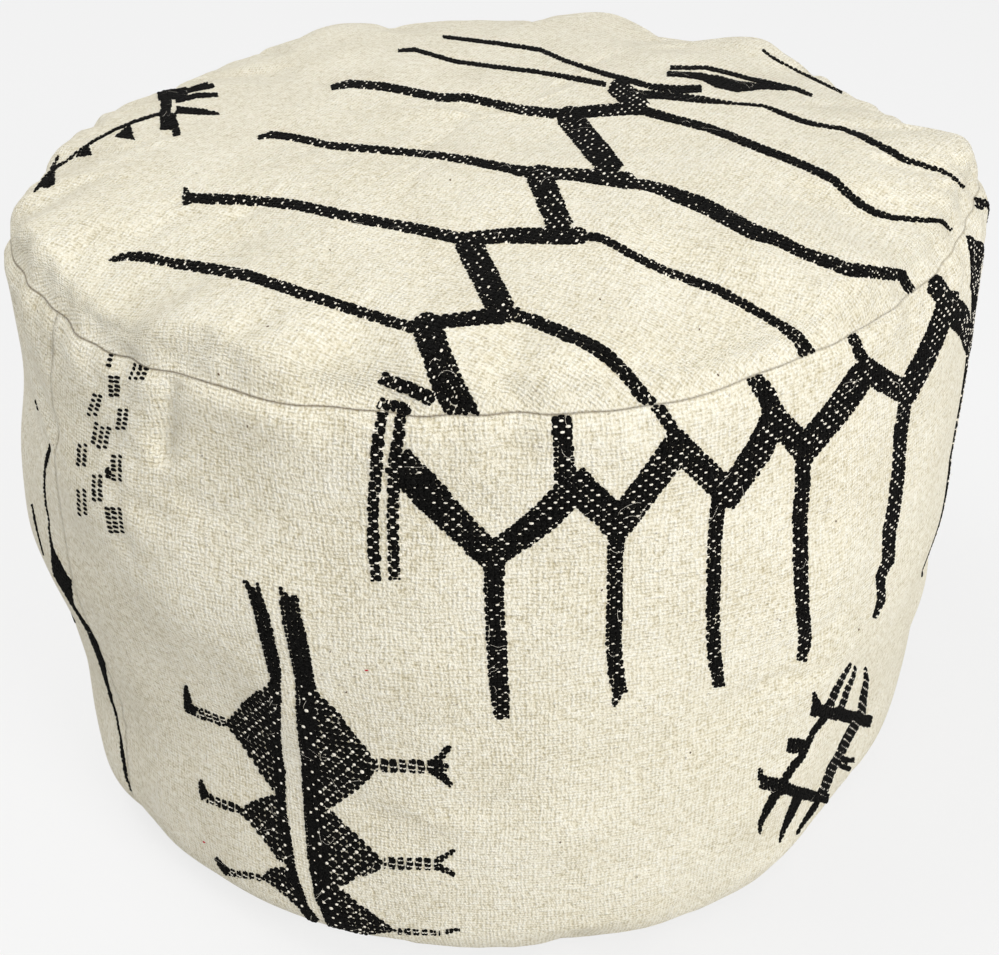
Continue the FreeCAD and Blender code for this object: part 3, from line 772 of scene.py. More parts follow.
def wool_cloth():
    """Undyed handspun wool in plain weave: matt, cream, each thread a soft uneven ridge that passes over and
    under, with thick stretches, felted fuzz, brown flecks, painted shade in the gaps between threads, and a
    browner line of painted shade along the crease where a seam draws the cloth in.

    Thread height over u and v is the larger of |sin(pi u / p)| (rise + fall c) and
    |sin(pi v / q)| (rise - fall c), with c = sin(pi u / p) sin(pi v / q), which changes sign from one
    crossing to the next."""
    material, tree, shader = new_material("undyed_wool_plain_weave")
    cloth = add_node(tree, "ShaderNodeAttribute", attribute_name="cloth").outputs["Vector"]
    # Painted shade along the seams' creases, as the mesh carries it
    painted_crease_shade = add_node(tree, "ShaderNodeAttribute", attribute_name="painted_crease_shade").outputs["Fac"]
    place = cloth
    for size, push in WANDERS:
        wander = add_node(tree, "ShaderNodeTexNoise", {"Vector": cloth, "Scale": 1 / size, "Detail": 2.0})
        centred = add_node(
            tree, "ShaderNodeVectorMath", {0: wander.outputs["Color"], 1: (0.5, 0.5, 0.5)},
            operation="SUBTRACT",
        ).outputs[0]
        pushed = add_node(tree, "ShaderNodeVectorMath", {0: centred, "Scale": push}, operation="SCALE")
        moved = {0: place, 1: pushed.outputs[0]}
        place = add_node(tree, "ShaderNodeVectorMath", moved, operation="ADD").outputs[0]
    split = add_node(tree, "ShaderNodeSeparateXYZ", {0: place})
    waves = []
    for axis, pitch in (("X", WARP_PITCH), ("Y", WEFT_PITCH)):
        turned = add_node(
            tree, "ShaderNodeMath", {0: split.outputs[axis], 1: math.pi / pitch}, operation="MULTIPLY"
        ).outputs[0]
        waves.append(add_node(tree, "ShaderNodeMath", {0: turned}, operation="SINE").outputs[0])
    crossing = add_node(tree, "ShaderNodeMath", {0: waves[0], 1: waves[1]}, operation="MULTIPLY").outputs[0]
    ridges = []
    for wave, fall in zip(waves, (THREAD_FALL, -THREAD_FALL)):
        over = add_node(
            tree, "ShaderNodeMath", {0: crossing, 1: fall, 2: THREAD_RISE}, operation="MULTIPLY_ADD"
        ).outputs[0]
        size = add_node(tree, "ShaderNodeMath", {0: wave}, operation="ABSOLUTE").outputs[0]
        ridges.append(add_node(tree, "ShaderNodeMath", {0: size, 1: over}, operation="MULTIPLY").outputs[0])
    weave = add_node(tree, "ShaderNodeMath", {0: ridges[0], 1: ridges[1]}, operation="MAXIMUM").outputs[0]
    streaks = []
    for size_u, size_v in STREAKS:
        stretch = (1 / size_u, 1 / size_v, 1.0)
        placed = add_node(tree, "ShaderNodeMapping", {"Vector": place, "Scale": stretch}).outputs[0]
        streak = add_node(tree, "ShaderNodeTexNoise", {"Vector": placed, "Scale": 1.0, "Detail": 1.0})
        streaks.append(streak.outputs["Fac"])
    slubs = add_node(tree, "ShaderNodeMath", {0: streaks[0], 1: streaks[1]}, operation="ADD").outputs[0]
    thread = add_node(tree, "ShaderNodeMath", {0: weave, 1: slubs}, operation="MULTIPLY").outputs[0]
    height = add_node(tree, "ShaderNodeMath", {0: thread, 1: THREAD_HEIGHT}, operation="MULTIPLY").outputs[0]
    # Painted shade: the colour is darker where the threads lie low, in the gaps between them
    tone_and_gap_shade = add_node(tree, "ShaderNodeMath", {0: height, 1: PAINTED_THREAD_GAP_SHADE}, operation="MULTIPLY").outputs[0]
    noises = []
    for size, detail in ((FUZZ_SIZE, 4.0), (FELT_SIZE, 3.0), (BLOTCH_SIZE, 4.0), (SPECK_SIZE, 1.0)):
        noise = add_node(tree, "ShaderNodeTexNoise", {"Vector": cloth, "Scale": 1 / size, "Detail": detail})
        noises.append(noise.outputs["Fac"])
    fuzz, felt, blotch, speck = noises
    for part, weight in ((felt, FELT_HEIGHT), (fuzz, FUZZ_HEIGHT)):
        added = {0: part, 1: weight, 2: height}
        height = add_node(tree, "ShaderNodeMath", added, operation="MULTIPLY_ADD").outputs[0]
    for part, weight in ((blotch, BLOTCH_SHADE), (felt, FELT_SHADE), (fuzz, FUZZ_SHADE)):
        added = {0: part, 1: weight, 2: tone_and_gap_shade}
        tone_and_gap_shade = add_node(tree, "ShaderNodeMath", added, operation="MULTIPLY_ADD").outputs[0]
    bump = add_node(tree, "ShaderNodeBump", {"Height": height, "Distance": 0.0011, "Strength": 1.0})
    ramp = add_node(tree, "ShaderNodeValToRGB", {"Fac": tone_and_gap_shade})
    set_stops(ramp, (0.445, "#BFB28E"), (0.83, "#FBF7E8"), (0.663, "#EDE6D0"))
    specks = add_node(tree, "ShaderNodeMapRange", {0: speck, 1: 0.735, 2: 0.8, 3: 0.0, 4: 0.6}).outputs[0]
    colour = ramp.outputs[0]
    # Brown flecks at random, and painted shade: a browner colour along each seam's crease
    for share, fleck_and_shade_colour in ((specks, "#7A6546"), (painted_crease_shade, "#5E4A2A")):
        flecked_and_shaded = {0: share, 6: colour, 7: linear(fleck_and_shade_colour)}
        colour = add_node(tree, "ShaderNodeMix", flecked_and_shaded, data_type="RGBA").outputs[2]
    tree.links.new(colour, shader.inputs["Base Color"])
    tree.links.new(bump.outputs[0], shader.inputs["Normal"])
    shader.inputs["Roughness"].default_value = 0.92
    shader.inputs["Specular IOR Level"].default_value = 0.2
    shader.inputs["Sheen Weight"].default_value = 0.15
    shader.inputs["Sheen Roughness"].default_value = 0.5
    return material


# Size in metres of the fibres that show on a float and on a warp thread
FLOAT_FIBRE = 0.0006
WARP_FIBRE = 0.0008


def black_wool():
    """Black dyed wool weft: matt and deep, with lighter brown-grey fibres along each float, painted in at
    random as sheen.
    """
    material, tree, shader = new_material("black_dyed_wool_weft")
    where = add_node(tree, "ShaderNodeTexCoord").outputs["Object"]
    noise = add_node(tree, "ShaderNodeTexNoise", {"Vector": where, "Scale": 1 / FLOAT_FIBRE, "Detail": 3.0})
    fibre = noise.outputs["Fac"]
    # Painted sheen: lighter fibres at random over the black
    ramp = add_node(tree, "ShaderNodeValToRGB", {"Fac": fibre})
    set_stops(ramp, (0.42, "#000000"), (0.78, "#262523"))
    bump = add_node(tree, "ShaderNodeBump", {"Height": fibre, "Distance": 0.0003, "Strength": 0.8})
    tree.links.new(ramp.outputs[0], shader.inputs["Base Color"])
    tree.links.new(bump.outputs[0], shader.inputs["Normal"])
    shader.inputs["Roughness"].default_value = 0.9
    shader.inputs["Specular IOR Level"].default_value = 0.06
    return material


def bright_warp():
    """Undyed warp that shows between black floats: the same wool, drawn tight, clean and bright."""
    material, tree, shader = new_material("undyed_wool_warp")
    where = add_node(tree, "ShaderNodeTexCoord").outputs["Object"]
    noise = add_node(tree, "ShaderNodeTexNoise", {"Vector": where, "Scale": 1 / WARP_FIBRE, "Detail": 2.0})
    ramp = add_node(tree, "ShaderNodeValToRGB", {"Fac": noise.outputs["Fac"]})
    set_stops(ramp, (0.3, "#D9D0BC"), (0.7, "#FBF7EC"))
    tree.links.new(ramp.outputs[0], shader.inputs["Base Color"])
    shader.inputs["Roughness"].default_value = 0.9
    shader.inputs["Specular IOR Level"].default_value = 0.2
    return material


def plain_material(name, colour, roughness, metallic=0.0, grain=None):
    """A plain finish, with a fine woven or fibrous grain of a given size in metres where it has one."""
    material, tree, shader = new_material(name)
    shader.inputs["Base Color"].default_value = linear(colour)
    shader.inputs["Roughness"].default_value = roughness
    shader.inputs["Metallic"].default_value = metallic
    if grain:
        where = add_node(tree, "ShaderNodeTexCoord").outputs["Object"]
        noise = add_node(tree, "ShaderNodeTexNoise", {"Vector": where, "Scale": 1 / grain, "Detail": 3.0})
        relief = {"Height": noise.outputs["Fac"], "Distance": grain / 2, "Strength": 0.6}
        bump = add_node(tree, "ShaderNodeBump", relief)
        tree.links.new(bump.outputs[0], shader.inputs["Normal"])
    return material


wool = wool_cloth()
black = black_wool()
warp = bright_warp()
# Unbleached calico: a flat, dull, pale cotton under the wool
calico = plain_material("unbleached_calico", "#E4DCC8", 0.95, grain=0.0006)
# Carded fibre: soft white filling
fibre = plain_material("carded_fibre", "#EFEBE2", 1.0, grain=0.004)
# Cotton sewing thread: cream with a dry twist
cotton = plain_material("cotton_thread", "#D8CBAE", 0.8, grain=0.0003)
# Woven polyester tape: beige and even
tape = plain_material("woven_zip_tape", "#CFC2A6", 0.85, grain=0.0004)
# Moulded acetal teeth: cream with a soft shine
moulded = plain_material("moulded_acetal", "#D9CFBA", 0.4)
# Flecks: brown bits of plant and a bit of red wool, carded in by chance
brown = plain_material("brown_plant_fleck", "#5B4630", 0.9)
red = plain_material("red_wool_fleck", "#B01E28", 0.9)
# Nickel-plated slider and stops: grey and bright
nickel = plain_material("nickel_plate", "#B9B8B4", 0.28, metallic=1.0)


# Cover pieces: how dark the painted shade in a seam's crease is, how far that painted shade fades round the
# top seam and at which azimuth, and how the edges turn in
CREASE_SHADE = 0.75
UPRIGHT_SHADE = 0.15
SEAM_SHADE_FADE = 0.5
SEAM_SHADE_FADE_ANGLE = 80.0
FOOT_TURN = np.array([1.6, 3.0, ALLOWANCE])
FOOT_TURN_REACH = 1.0 + np.array([0.6, 2.0, ALLOWANCE])
FOOT_TURN_HEIGHT = np.array([1.5, 2.6, 2.6])
UPRIGHT_TURN_START = 20.0
UPRIGHT_TURN_END = 60.0
UPRIGHT_TURN_EASE = 25.0
# Third thread coordinate, which keeps the grain of one cloth apart from that of the next
SIDE_LAYER = 500.0
BASE_LAYER = 900.0


def drawn_in(edge, steps):
    """Rows of points drawn in from an edge towards the middle by some steps."""
    inward = -edge * (1, 1, 0) / np.linalg.norm(edge[:, :2], axis=1)[:, None]
    return edge + inward * np.reshape(steps, (-1, 1, 1))


def painted_shade_near_seam(distance):
    """Painted shade of a seam's crease: how far it darkens the cloth at a distance from the seam."""
    return CREASE_SHADE * np.exp(-(distance / CREASE_WIDTH) ** 2)


def seam_shade_strength(azimuth):
    """Strength of the painted shade in the top seam's crease round the pouf: full at the left and half at the
    right.
    """
    return 1 - SEAM_SHADE_FADE * ease(np.cos(azimuth - math.radians(SEAM_SHADE_FADE_ANGLE)))


def make_top():
    """Top cloth: rings at arc lengths from the middle, over the shoulder, then its edge turned in flat."""
    sectors = 400
    azimuth = np.linspace(-math.pi, math.pi, sectors, endpoint=False)
    rings = np.concatenate([
        np.linspace(3, SHOULDER_START - 12, 66),
        np.linspace(SHOULDER_START - 9, SEAM - 2.4, 20),
        np.linspace(SEAM - 1.6, SEAM - CREASE, 5),
    ])
    outer = cover(azimuth[None], rings[:, None])
    points = np.concatenate([outer, drawn_in(outer[-1], TURN_STEPS)]).reshape(-1, 3)
    faces = grid_faces(len(rings) + len(TURN_STEPS), sectors, True).tolist()
    middle = len(points)
    points = np.concatenate([points, cover(np.zeros(1), np.full(1, CREASE))])
    faces += [[middle, j, (j + 1) % sectors] for j in range(sectors)]
    far = np.concatenate([rings, rings[-1] + TURN_STEPS])
    x, y = far[:, None] * np.sin(azimuth), -far[:, None] * np.cos(azimuth)
    turn = math.radians(TOP_TURN)
    u = x * math.cos(turn) + y * math.sin(turn)
    v = -x * math.sin(turn) + y * math.cos(turn)
    threads = np.stack([u, v, np.zeros_like(u)], axis=-1).reshape(-1, 3)
    threads = np.concatenate([threads, np.zeros((1, 3))])
    # Painted shade along the seam's crease, fainter towards the right
    painted_crease_shade = painted_shade_near_seam(SEAM - far)[:, None] * seam_shade_strength(azimuth)
    painted_crease_shade = np.append(painted_crease_shade, 0.0)
    attributes = {"cloth": threads, "painted_crease_shade": painted_crease_shade}
    piece = make_piece("top_cloth", points, faces, wool, "pouf", attributes)
    thicken(piece, CLOTH)
    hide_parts("top_panel")


def make_side(name, node, start):
    """Side cloth: half the band between its upright seams, with all four edges turned in."""
    columns = 260
    setback = SEAM_PLANE_GAP / BELLY_RADIUS
    azimuth = np.radians(start) + np.linspace(setback, math.pi - setback, columns)
    rows = np.concatenate([
        np.linspace(SEAM + CREASE, SEAM + 1.6, 5),
        np.linspace(SEAM + 2.4, BARREL_START, 10),
        np.linspace(BARREL_START, FOOT_START, 106)[1:],
        np.linspace(FOOT_START, FLOOR - 1.0, 28)[1:],
    ])
    outer = cover(azimuth[None], rows[:, None])
    head = drawn_in(outer[0], TURN_STEPS[::-1])
    foot = drawn_in(outer[-1], FOOT_TURN_REACH)
    foot[:, :, 2] = FOOT_TURN_HEIGHT[:, None]
    points = np.concatenate([head, outer, foot])
    reach = np.concatenate([rows[0] - TURN_STEPS[::-1], rows, rows[-1] + FOOT_TURN]) - SEAM
    from_head = ease((reach - UPRIGHT_TURN_START) / UPRIGHT_TURN_EASE)
    from_foot = ease((FLOOR - SEAM - UPRIGHT_TURN_END - reach) / UPRIGHT_TURN_EASE)
    depth = np.minimum(from_head, from_foot)[:, None]
    edges = []
    for column in (points[:, 0], points[:, -1]):
        inward = -column * (1, 1, 0) / np.linalg.norm(column[:, :2], axis=1)[:, None]
        edges.append([column + inward * depth * step for step in TURN_STEPS])
    left = np.stack(edges[0][::-1], axis=1)
    right = np.stack(edges[1], axis=1)
    points = np.concatenate([left, points, right], axis=1)
    u = azimuth * BELLY_RADIUS
    u = np.concatenate([u[0] - TURN_STEPS[::-1], u, u[-1] + TURN_STEPS])
    u, v = np.broadcast_arrays(u[None], reach[:, None])
    threads = np.stack([u, v, np.full_like(u, SIDE_LAYER)], axis=-1).reshape(-1, 3)
    faces = grid_faces(points.shape[0], points.shape[1], False)
    turns = len(TURN_STEPS)
    # Painted shade along the top seam's crease and, fainter, along each upright seam
    upright = painted_shade_near_seam(u - u[:, turns, None]) + painted_shade_near_seam(u - u[:, -1 - turns, None])
    painted_crease_shade = np.maximum(painted_shade_near_seam(v) * seam_shade_strength(u / BELLY_RADIUS), UPRIGHT_SHADE * upright).ravel()
    points = points.reshape(-1, 3)
    used, faces = without_slivers(points, faces)
    attributes = {"cloth": threads[used], "painted_crease_shade": painted_crease_shade[used]}
    piece = make_piece(name, points[used], faces, wool, "pouf", attributes)
    thicken(piece, CLOTH)
    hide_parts(node)


# Base cloth: rows of its flat part, of its fold and of its hem, its gap over the floor, half the gap at its
# centre seam, how gently the slot and the hem end, and the least of the hem and of the flat part
BASE_ROWS = 26
FOLD_ROWS = 5
HEM_ROWS = 6
BASE_GAP = 0.05
CENTRE_GAP = 0.1
BASE_ARC = 86.0
SLOT_EASE = 4.0
HEM_EASE = 6.0
LEAST_HEM = 0.3
LEAST_BASE = 0.5


def make_base(name, node, side):
    """Half of the base cloth: from the arc at the base seam to the slot, then folded up and back as a hem."""
    columns = 160
    radius = BASE_RADIUS - CLEARANCE
    middle_low = CLOTH / 2 + BASE_GAP
    x = radius * np.sin(np.radians(np.linspace(-BASE_ARC, BASE_ARC, columns)))
    slot_start = ease((x - SLOT_START + SLOT_EASE / 2) / SLOT_EASE)
    slot_end = ease((SLOT_END + SLOT_EASE / 2 - x) / SLOT_EASE)
    edge = CENTRE_GAP + CLOTH / 2 + (SLOT_WIDTH / 2 - CENTRE_GAP) * (slot_start * slot_end)
    hem = HEM_DEPTH * ease((HEM_END - np.abs(x)) / HEM_EASE) + LEAST_HEM
    arc = np.sqrt(radius ** 2 - x ** 2)
    share = np.linspace(1, 0, BASE_ROWS)[:, None]
    floor_y = edge + (np.maximum(arc, edge + LEAST_BASE) - edge) * share
    turn = np.radians(np.linspace(0, 180, FOLD_ROWS + 2))[1:-1, None]
    fold_y = edge - (CLOTH / 2) * np.sin(turn)
    fold_z = middle_low + CLOTH / 2 * (1 - np.cos(turn))
    back = np.linspace(0, 1, HEM_ROWS)[:, None]
    hem_y = edge + hem * back
    y = np.concatenate([floor_y, fold_y, hem_y])
    z = np.concatenate([
        np.full((BASE_ROWS, 1), middle_low), fold_z, np.full((HEM_ROWS, 1), middle_low + CLOTH),
    ]) + np.zeros(columns)
    points = np.stack(np.broadcast_arrays(x[None], side * y, z), axis=-1)
    along = np.cumsum(np.r_[np.zeros((1, columns)), np.hypot(np.diff(y, axis=0), np.diff(z, axis=0))], axis=0)
    from_slot = along - along[BASE_ROWS - 1]
    threads = np.stack(np.broadcast_arrays(x[None], from_slot, np.full_like(y, BASE_LAYER)), axis=-1)
    faces = grid_faces(len(y), columns, False)
    faces = faces if side > 0 else faces[:, ::-1]
    piece = make_piece(name, points, faces, wool, "pouf", {"cloth": threads.reshape(-1, 3)})
    thicken(piece, CLOTH - 2 * BASE_GAP)
    piece.modifiers["wall"].offset = 0.0
    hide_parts(node)


# Inside: a calico bag and its stuffing follow the cover and clear its turned edges and its zip
INSIDE_MIDDLE = 2.0
INSIDE_STEP = 1.5
SEAM_SLOT_MARGIN = 0.1
SEAM_SLOT_ENDS = 8.0
SEAM_SLOT_DEEPER = 1.0
SEAM_SLOT_WALL = 0.3
SEAM_SLOT_CLEAR = 1.4
ZIP_ROOM_EDGE = 3.0
ZIP_ROOM_END = 2.0
ZIP_ROOM_SIDE = 9.0
ZIP_ROOM_SLOPE = 14.0


def inside_profile(inset):
    """Radius, height and cover station round the inside of the cover's turned edges, from the middle of the
    top to the middle of the base."""
    grow = inset - CLOTH
    dome = np.concatenate([
        np.linspace(INSIDE_MIDDLE, SHOULDER_START, 40),
        np.linspace(SHOULDER_START, SEAM - CREASE, 14)[1:],
    ])
    band = np.concatenate([
        np.linspace(SEAM + CREASE, BARREL_START, 10),
        np.linspace(BARREL_START, FOOT_START, 60)[1:],
        np.linspace(FOOT_START, FLOOR, 16)[1:],
    ])
    parts = []
    for stations in (dome, band):
        radius, height, normal_r, normal_z = section(stations)
        parts.append([radius - inset * normal_r, height - inset * normal_z, stations])
    top, side = parts
    above = top[1] > SEAM_HEIGHT + inset
    below = (side[1] < SEAM_HEIGHT - inset) & (side[1] > CLOTH + inset)
    top = np.array(top)[:, above]
    side = np.array(side)[:, below]
    neck = SEAM_RADIUS - ALLOWANCE - grow
    step = BASE_RADIUS - ALLOWANCE - grow
    collar = np.array([
        (neck, SEAM_HEIGHT + inset, SEAM - CREASE),
        (neck, SEAM_HEIGHT - inset, SEAM + CREASE),
    ]).T
    foot = np.array([(step, CLOTH + inset, FLOOR), (step, inset, FLOOR)]).T
    floor = np.array([(r, inset, FLOOR) for r in np.linspace(step - INSIDE_MIDDLE, INSIDE_MIDDLE, 40)]).T
    return [np.hstack([top, collar[:, :1]]), np.hstack([collar, side, foot]), np.hstack([foot[:, 1:], floor])]


def inside_points(profile, inset, azimuth):
    """Grid of the inside, with a slot round each upright seam's turned edges and a rise over the zip."""
    radius, height, station = profile[:, :, None] + np.zeros(len(azimuth))
    across = np.broadcast_to(azimuth, radius.shape)
    _, _, normal_r, normal_z = section(station)
    outward, upward = sculpt(across, station, radius, height, normal_r, normal_z)
    moves = station < FLOOR - CREASE
    radius = radius + outward * moves
    height = height + upward * moves
    for seam in (SIDE_SEAM_ANGLE, SIDE_SEAM_ANGLE + 180):
        apart = (across - math.radians(seam) + math.pi) % (2 * math.pi) - math.pi
        slotted = np.abs(apart) * BELLY_RADIUS < inset + SEAM_SLOT_MARGIN
        slotted &= (station > SEAM + SEAM_SLOT_ENDS) & (station < FOOT_START + SEAM_SLOT_ENDS)
        radius = radius - (ALLOWANCE + SEAM_SLOT_DEEPER) * slotted
    x, y = radius * np.sin(across), -radius * np.cos(across)
    over_zip = (station >= FLOOR - CREASE) & (np.abs(x) < HEM_END + ZIP_ROOM_END)
    over_zip &= radius < BASE_RADIUS - ALLOWANCE - ZIP_ROOM_EDGE
    aside = np.maximum(np.abs(y) - HEM_DEPTH - ZIP_ROOM_SIDE, 0)
    height = height + ZIP_RISE * np.exp(-(aside / ZIP_ROOM_SLOPE) ** 2) * over_zip
    return np.stack([x, y, height], axis=-1)


def inside_azimuths(inset):
    """Azimuths round the inside, with close pairs at both sides of each upright seam's slot."""
    plain = np.radians(np.arange(-180, 180, INSIDE_STEP))
    slots = []
    for seam in (SIDE_SEAM_ANGLE, SIDE_SEAM_ANGLE + 180):
        plain = plain[np.abs(np.degrees(plain) - seam) > SEAM_SLOT_CLEAR]
        slots += [
            math.radians(seam) + side * (inset + reach) / BELLY_RADIUS
            for side in (-1, 1)
            for reach in (0, SEAM_SLOT_WALL)
        ]
    return np.sort(np.concatenate([plain, slots]))


def round_grid(points):
    """Points of a grid of rings, its faces, and the faces that close it at its first and at its last ring."""
    rows, columns = points.shape[:2]
    return points.reshape(-1, 3), grid_faces(rows, columns, True).tolist(), end_faces(rows, columns)


def make_inside():
    """Calico bag in three sheets and the stuffing that fills it."""
    azimuth = inside_azimuths(LINER_INSET)
    names = ("liner_top", "liner_side", "liner_base")
    for name, profile in zip(names, inside_profile(LINER_INSET)):
        points, faces, ends = round_grid(inside_points(profile, LINER_INSET, azimuth))
        if name == "liner_top":
            faces.append(ends[0])
        if name == "liner_base":
            faces.append(ends[1])
        piece = make_piece(f"{name}_calico", points, faces, calico, "pouf")
        thicken(piece, LINER)
        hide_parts(name)
    azimuth = inside_azimuths(STUFFING_INSET)
    top, side, base = inside_profile(STUFFING_INSET)
    profile = np.hstack([top, side[:, 1:], base[:, 1:]])
    points, faces, ends = round_grid(inside_points(profile, STUFFING_INSET, azimuth))
    piece = make_piece("stuffing_fill", points, faces + ends, fibre, "pouf")
    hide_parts("stuffing")


# Stitching: sides of a thread, points along the top seam and an upright one, and where the upright ones end
THREAD_SIDES = 6
THREAD_SLANT = np.array([0.3, 0.2, 1.0])
TOP_STITCH_POINTS = 720
UPRIGHT_STITCH_POINTS = 160
UPRIGHT_STITCH_END = 45.0


def tube(path, radius, closed):
    """Points and faces of a thread with a few sides along a path."""
    ahead = np.roll(path, -1, axis=0) - np.roll(path, 1, axis=0)
    if not closed:
        ahead[0], ahead[-1] = path[1] - path[0], path[-1] - path[-2]
    ahead /= np.linalg.norm(ahead, axis=1)[:, None]
    side = np.cross(ahead, THREAD_SLANT)
    side /= np.linalg.norm(side, axis=1)[:, None]
    over = np.cross(side, ahead)
    round_it = np.arange(THREAD_SIDES) * math.pi / (THREAD_SIDES / 2)
    ring = np.cos(round_it)[None, :, None] * side[:, None] + np.sin(round_it)[None, :, None] * over[:, None]
    points = path[:, None] + radius * ring
    faces = grid_faces(len(path), THREAD_SIDES, True).tolist()
    if closed:
        last = (len(path) - 1) * THREAD_SIDES
        nexts = [(k + 1) % THREAD_SIDES for k in range(THREAD_SIDES)]
        faces += [[last + k, k, n, last + n] for k, n in enumerate(nexts)]
    else:
        faces += end_faces(len(path), THREAD_SIDES)
    return points.reshape(-1, 3), faces


def make_seam_threads():
    """Stitching of the top seam and of the upright seams, along the turned edges as they lie now."""
    azimuth = np.linspace(-math.pi, math.pi, TOP_STITCH_POINTS, endpoint=False)
    seam = cover(azimuth, np.full(TOP_STITCH_POINTS, SEAM - CREASE))
    path = drawn_in(seam, [ALLOWANCE / 2])[0] + (0, 0, CLOTH + CLEARANCE + THREAD / 2)
    points, faces = tube(path, THREAD / 2, True)
    piece = make_piece("top_seam_stitching", points, faces, cotton, "pouf")
    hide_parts("top_seam_thread")
    all_points, all_faces = np.zeros((0, 3)), []
    for angle, side in ((SIDE_SEAM_ANGLE, 1), (SIDE_SEAM_ANGLE + 180, -1)):
        first, last = BARREL_START + UPRIGHT_STITCH_END, FOOT_START - UPRIGHT_STITCH_END
        edge = cover(math.radians(angle), np.linspace(first, last, UPRIGHT_STITCH_POINTS))
        path = drawn_in(edge, [CLOTH + ALLOWANCE / 2])[0]
        across = np.array([math.cos(math.radians(angle)), math.sin(math.radians(angle)), 0])
        path = path + side * (CLOTH + CLEARANCE + THREAD / 2) * across
        points, faces = tube(path, THREAD / 2, False)
        all_faces += [[k + len(all_points) for k in face] for face in faces]
        all_points = np.concatenate([all_points, points])
    piece = make_piece("upright_seam_stitching", all_points, all_faces, cotton, "pouf")
    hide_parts("side_seam_threads")


def settle_cloth():
    """Blows a coarse copy of the cover up between its seams for a few frames and returns how far each ring
    and sector moved outwards and upwards, less each ring's average, so that the outline keeps its form."""
    rest = cover(SETTLE_AZIMUTHS[None], SETTLE_RINGS[:, None])
    rows, columns = rest.shape[:2]
    faces = grid_faces(rows, columns, True).tolist() + end_faces(rows, columns)
    mesh = bpy.data.meshes.new("settling")
    mesh.from_pydata((rest.reshape(-1, 3) * MM).tolist(), [], faces)
    trial = bpy.data.objects.new("settling", mesh)
    bpy.context.scene.collection.objects.link(trial)
    pins = trial.vertex_groups.new(name="pins")
    held = np.zeros((rows, columns), bool)
    held[np.abs(SETTLE_RINGS - SEAM) < SETTLE_HELD_SEAM] = True
    held[SETTLE_RINGS > FLOOR - SETTLE_HELD_FOOT] = True
    pins.add(np.flatnonzero(held).tolist(), 1.0, "REPLACE")
    cloth = trial.modifiers.new("cloth", "CLOTH")
    cloth.settings.vertex_group_mass = "pins"
    cloth.settings.quality = 5
    cloth.settings.use_pressure = True
    cloth.settings.uniform_pressure_force = 4.0
    cloth.settings.shrink_min = -0.012
    cloth.settings.bending_stiffness = 0.3
    cloth.settings.effector_weights.gravity = 0.0
    cloth.point_cache.frame_end = SETTLE_FRAMES
    for step in range(1, SETTLE_FRAMES + 1):
        bpy.context.scene.frame_set(step)
    shown = trial.evaluated_get(bpy.context.evaluated_depsgraph_get()).data
    flat = np.empty(rows * columns * 3, np.float32)
    shown.vertices.foreach_get("co", flat)
    moved = flat.reshape(rest.shape) / MM - rest
    bpy.data.objects.remove(trial)
    bpy.data.meshes.remove(mesh)
    bpy.context.scene.frame_set(1)
    out = moved[..., 0] * np.sin(SETTLE_AZIMUTHS) - moved[..., 1] * np.cos(SETTLE_AZIMUTHS)
    moves = np.stack([out, moved[..., 2]])
    moves -= moves.mean(axis=2, keepdims=True)
    size = np.hypot(*moves) + 1e-9
    return moves * (SETTLE_LIMIT * np.tanh(size / SETTLE_LIMIT) / size)


settled[:] = settle_cloth()
make_top()
make_side("front_side_cloth", "front_side_panel", SIDE_SEAM_ANGLE)
make_side("back_side_cloth", "back_side_panel", SIDE_SEAM_ANGLE + 180)
make_base("front_base_cloth", "front_base_panel", -1)
make_base("back_base_cloth", "back_base_panel", 1)
make_inside()
make_seam_threads()
for node, material in (
    ("base_seam_thread", cotton), ("base_centre_threads", cotton), ("zip_threads", cotton),
    ("zip_tape_front", tape), ("zip_tape_back", tape),
    ("zip_teeth_front", moulded), ("zip_teeth_back", moulded),
    ("zip_top_stops", nickel), ("zip_bottom_stop", nickel), ("zip_slider", nickel), ("zip_pull", nickel),
):
    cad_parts[node].data.materials.clear()
    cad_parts[node].data.materials.append(material)


# Black figures as raised floats of weft, one to a cell, with warp showing between them. Shares are of a
# cell's places, laps of a cell's size, and a spread is a random share of a size, a place or a height.
PLACES = 5
PROBE = 1.0
LEAST_SHARE = 0.14
EDGE_SHARE = 0.3
SPLIT_SHARE = 0.4
INNER_SHARE = 0.6
FULL_SHARE = 0.9
INNER_NEIGHBOURS = 3
ROUNDNESS = 0.12
FULL_LAP = 0.2
EDGE_LAP = 0.05
EVEN_LAP = 0.08
ODD_LAP = -0.04
SIZE_SPREAD = 0.06
PLACE_SPREAD = 0.04
HEIGHT_SPREAD = 0.1
DOT_SPREAD = 0.14
PATCHINESS = 0.35
PLENTY_LIMITS = (0.1, 0.97)
FLOAT_HEIGHT = 0.75
WARP_HEIGHT = 0.95
FIGURE_EDGE = 0.2
FIGURE_FOOT = 4.0
DOME_SIDES = 8
DOME_SHOULDER = 0.62
DOME_SHOULDER_HEIGHT = 0.78
DOME_ROOT = -0.35
SQUARENESS = 2 / 2.6
around_dome = np.arange(DOME_SIDES) * 2 * math.pi / DOME_SIDES
DOME_RING = np.stack([
    np.sign(np.cos(around_dome)) * np.abs(np.cos(around_dome)) ** SQUARENESS,
    np.sign(np.sin(around_dome)) * np.abs(np.sin(around_dome)) ** SQUARENESS,
], axis=-1)
DOME_TEMPLATE = np.concatenate([[(0, 0)], DOME_SHOULDER * DOME_RING, DOME_RING])
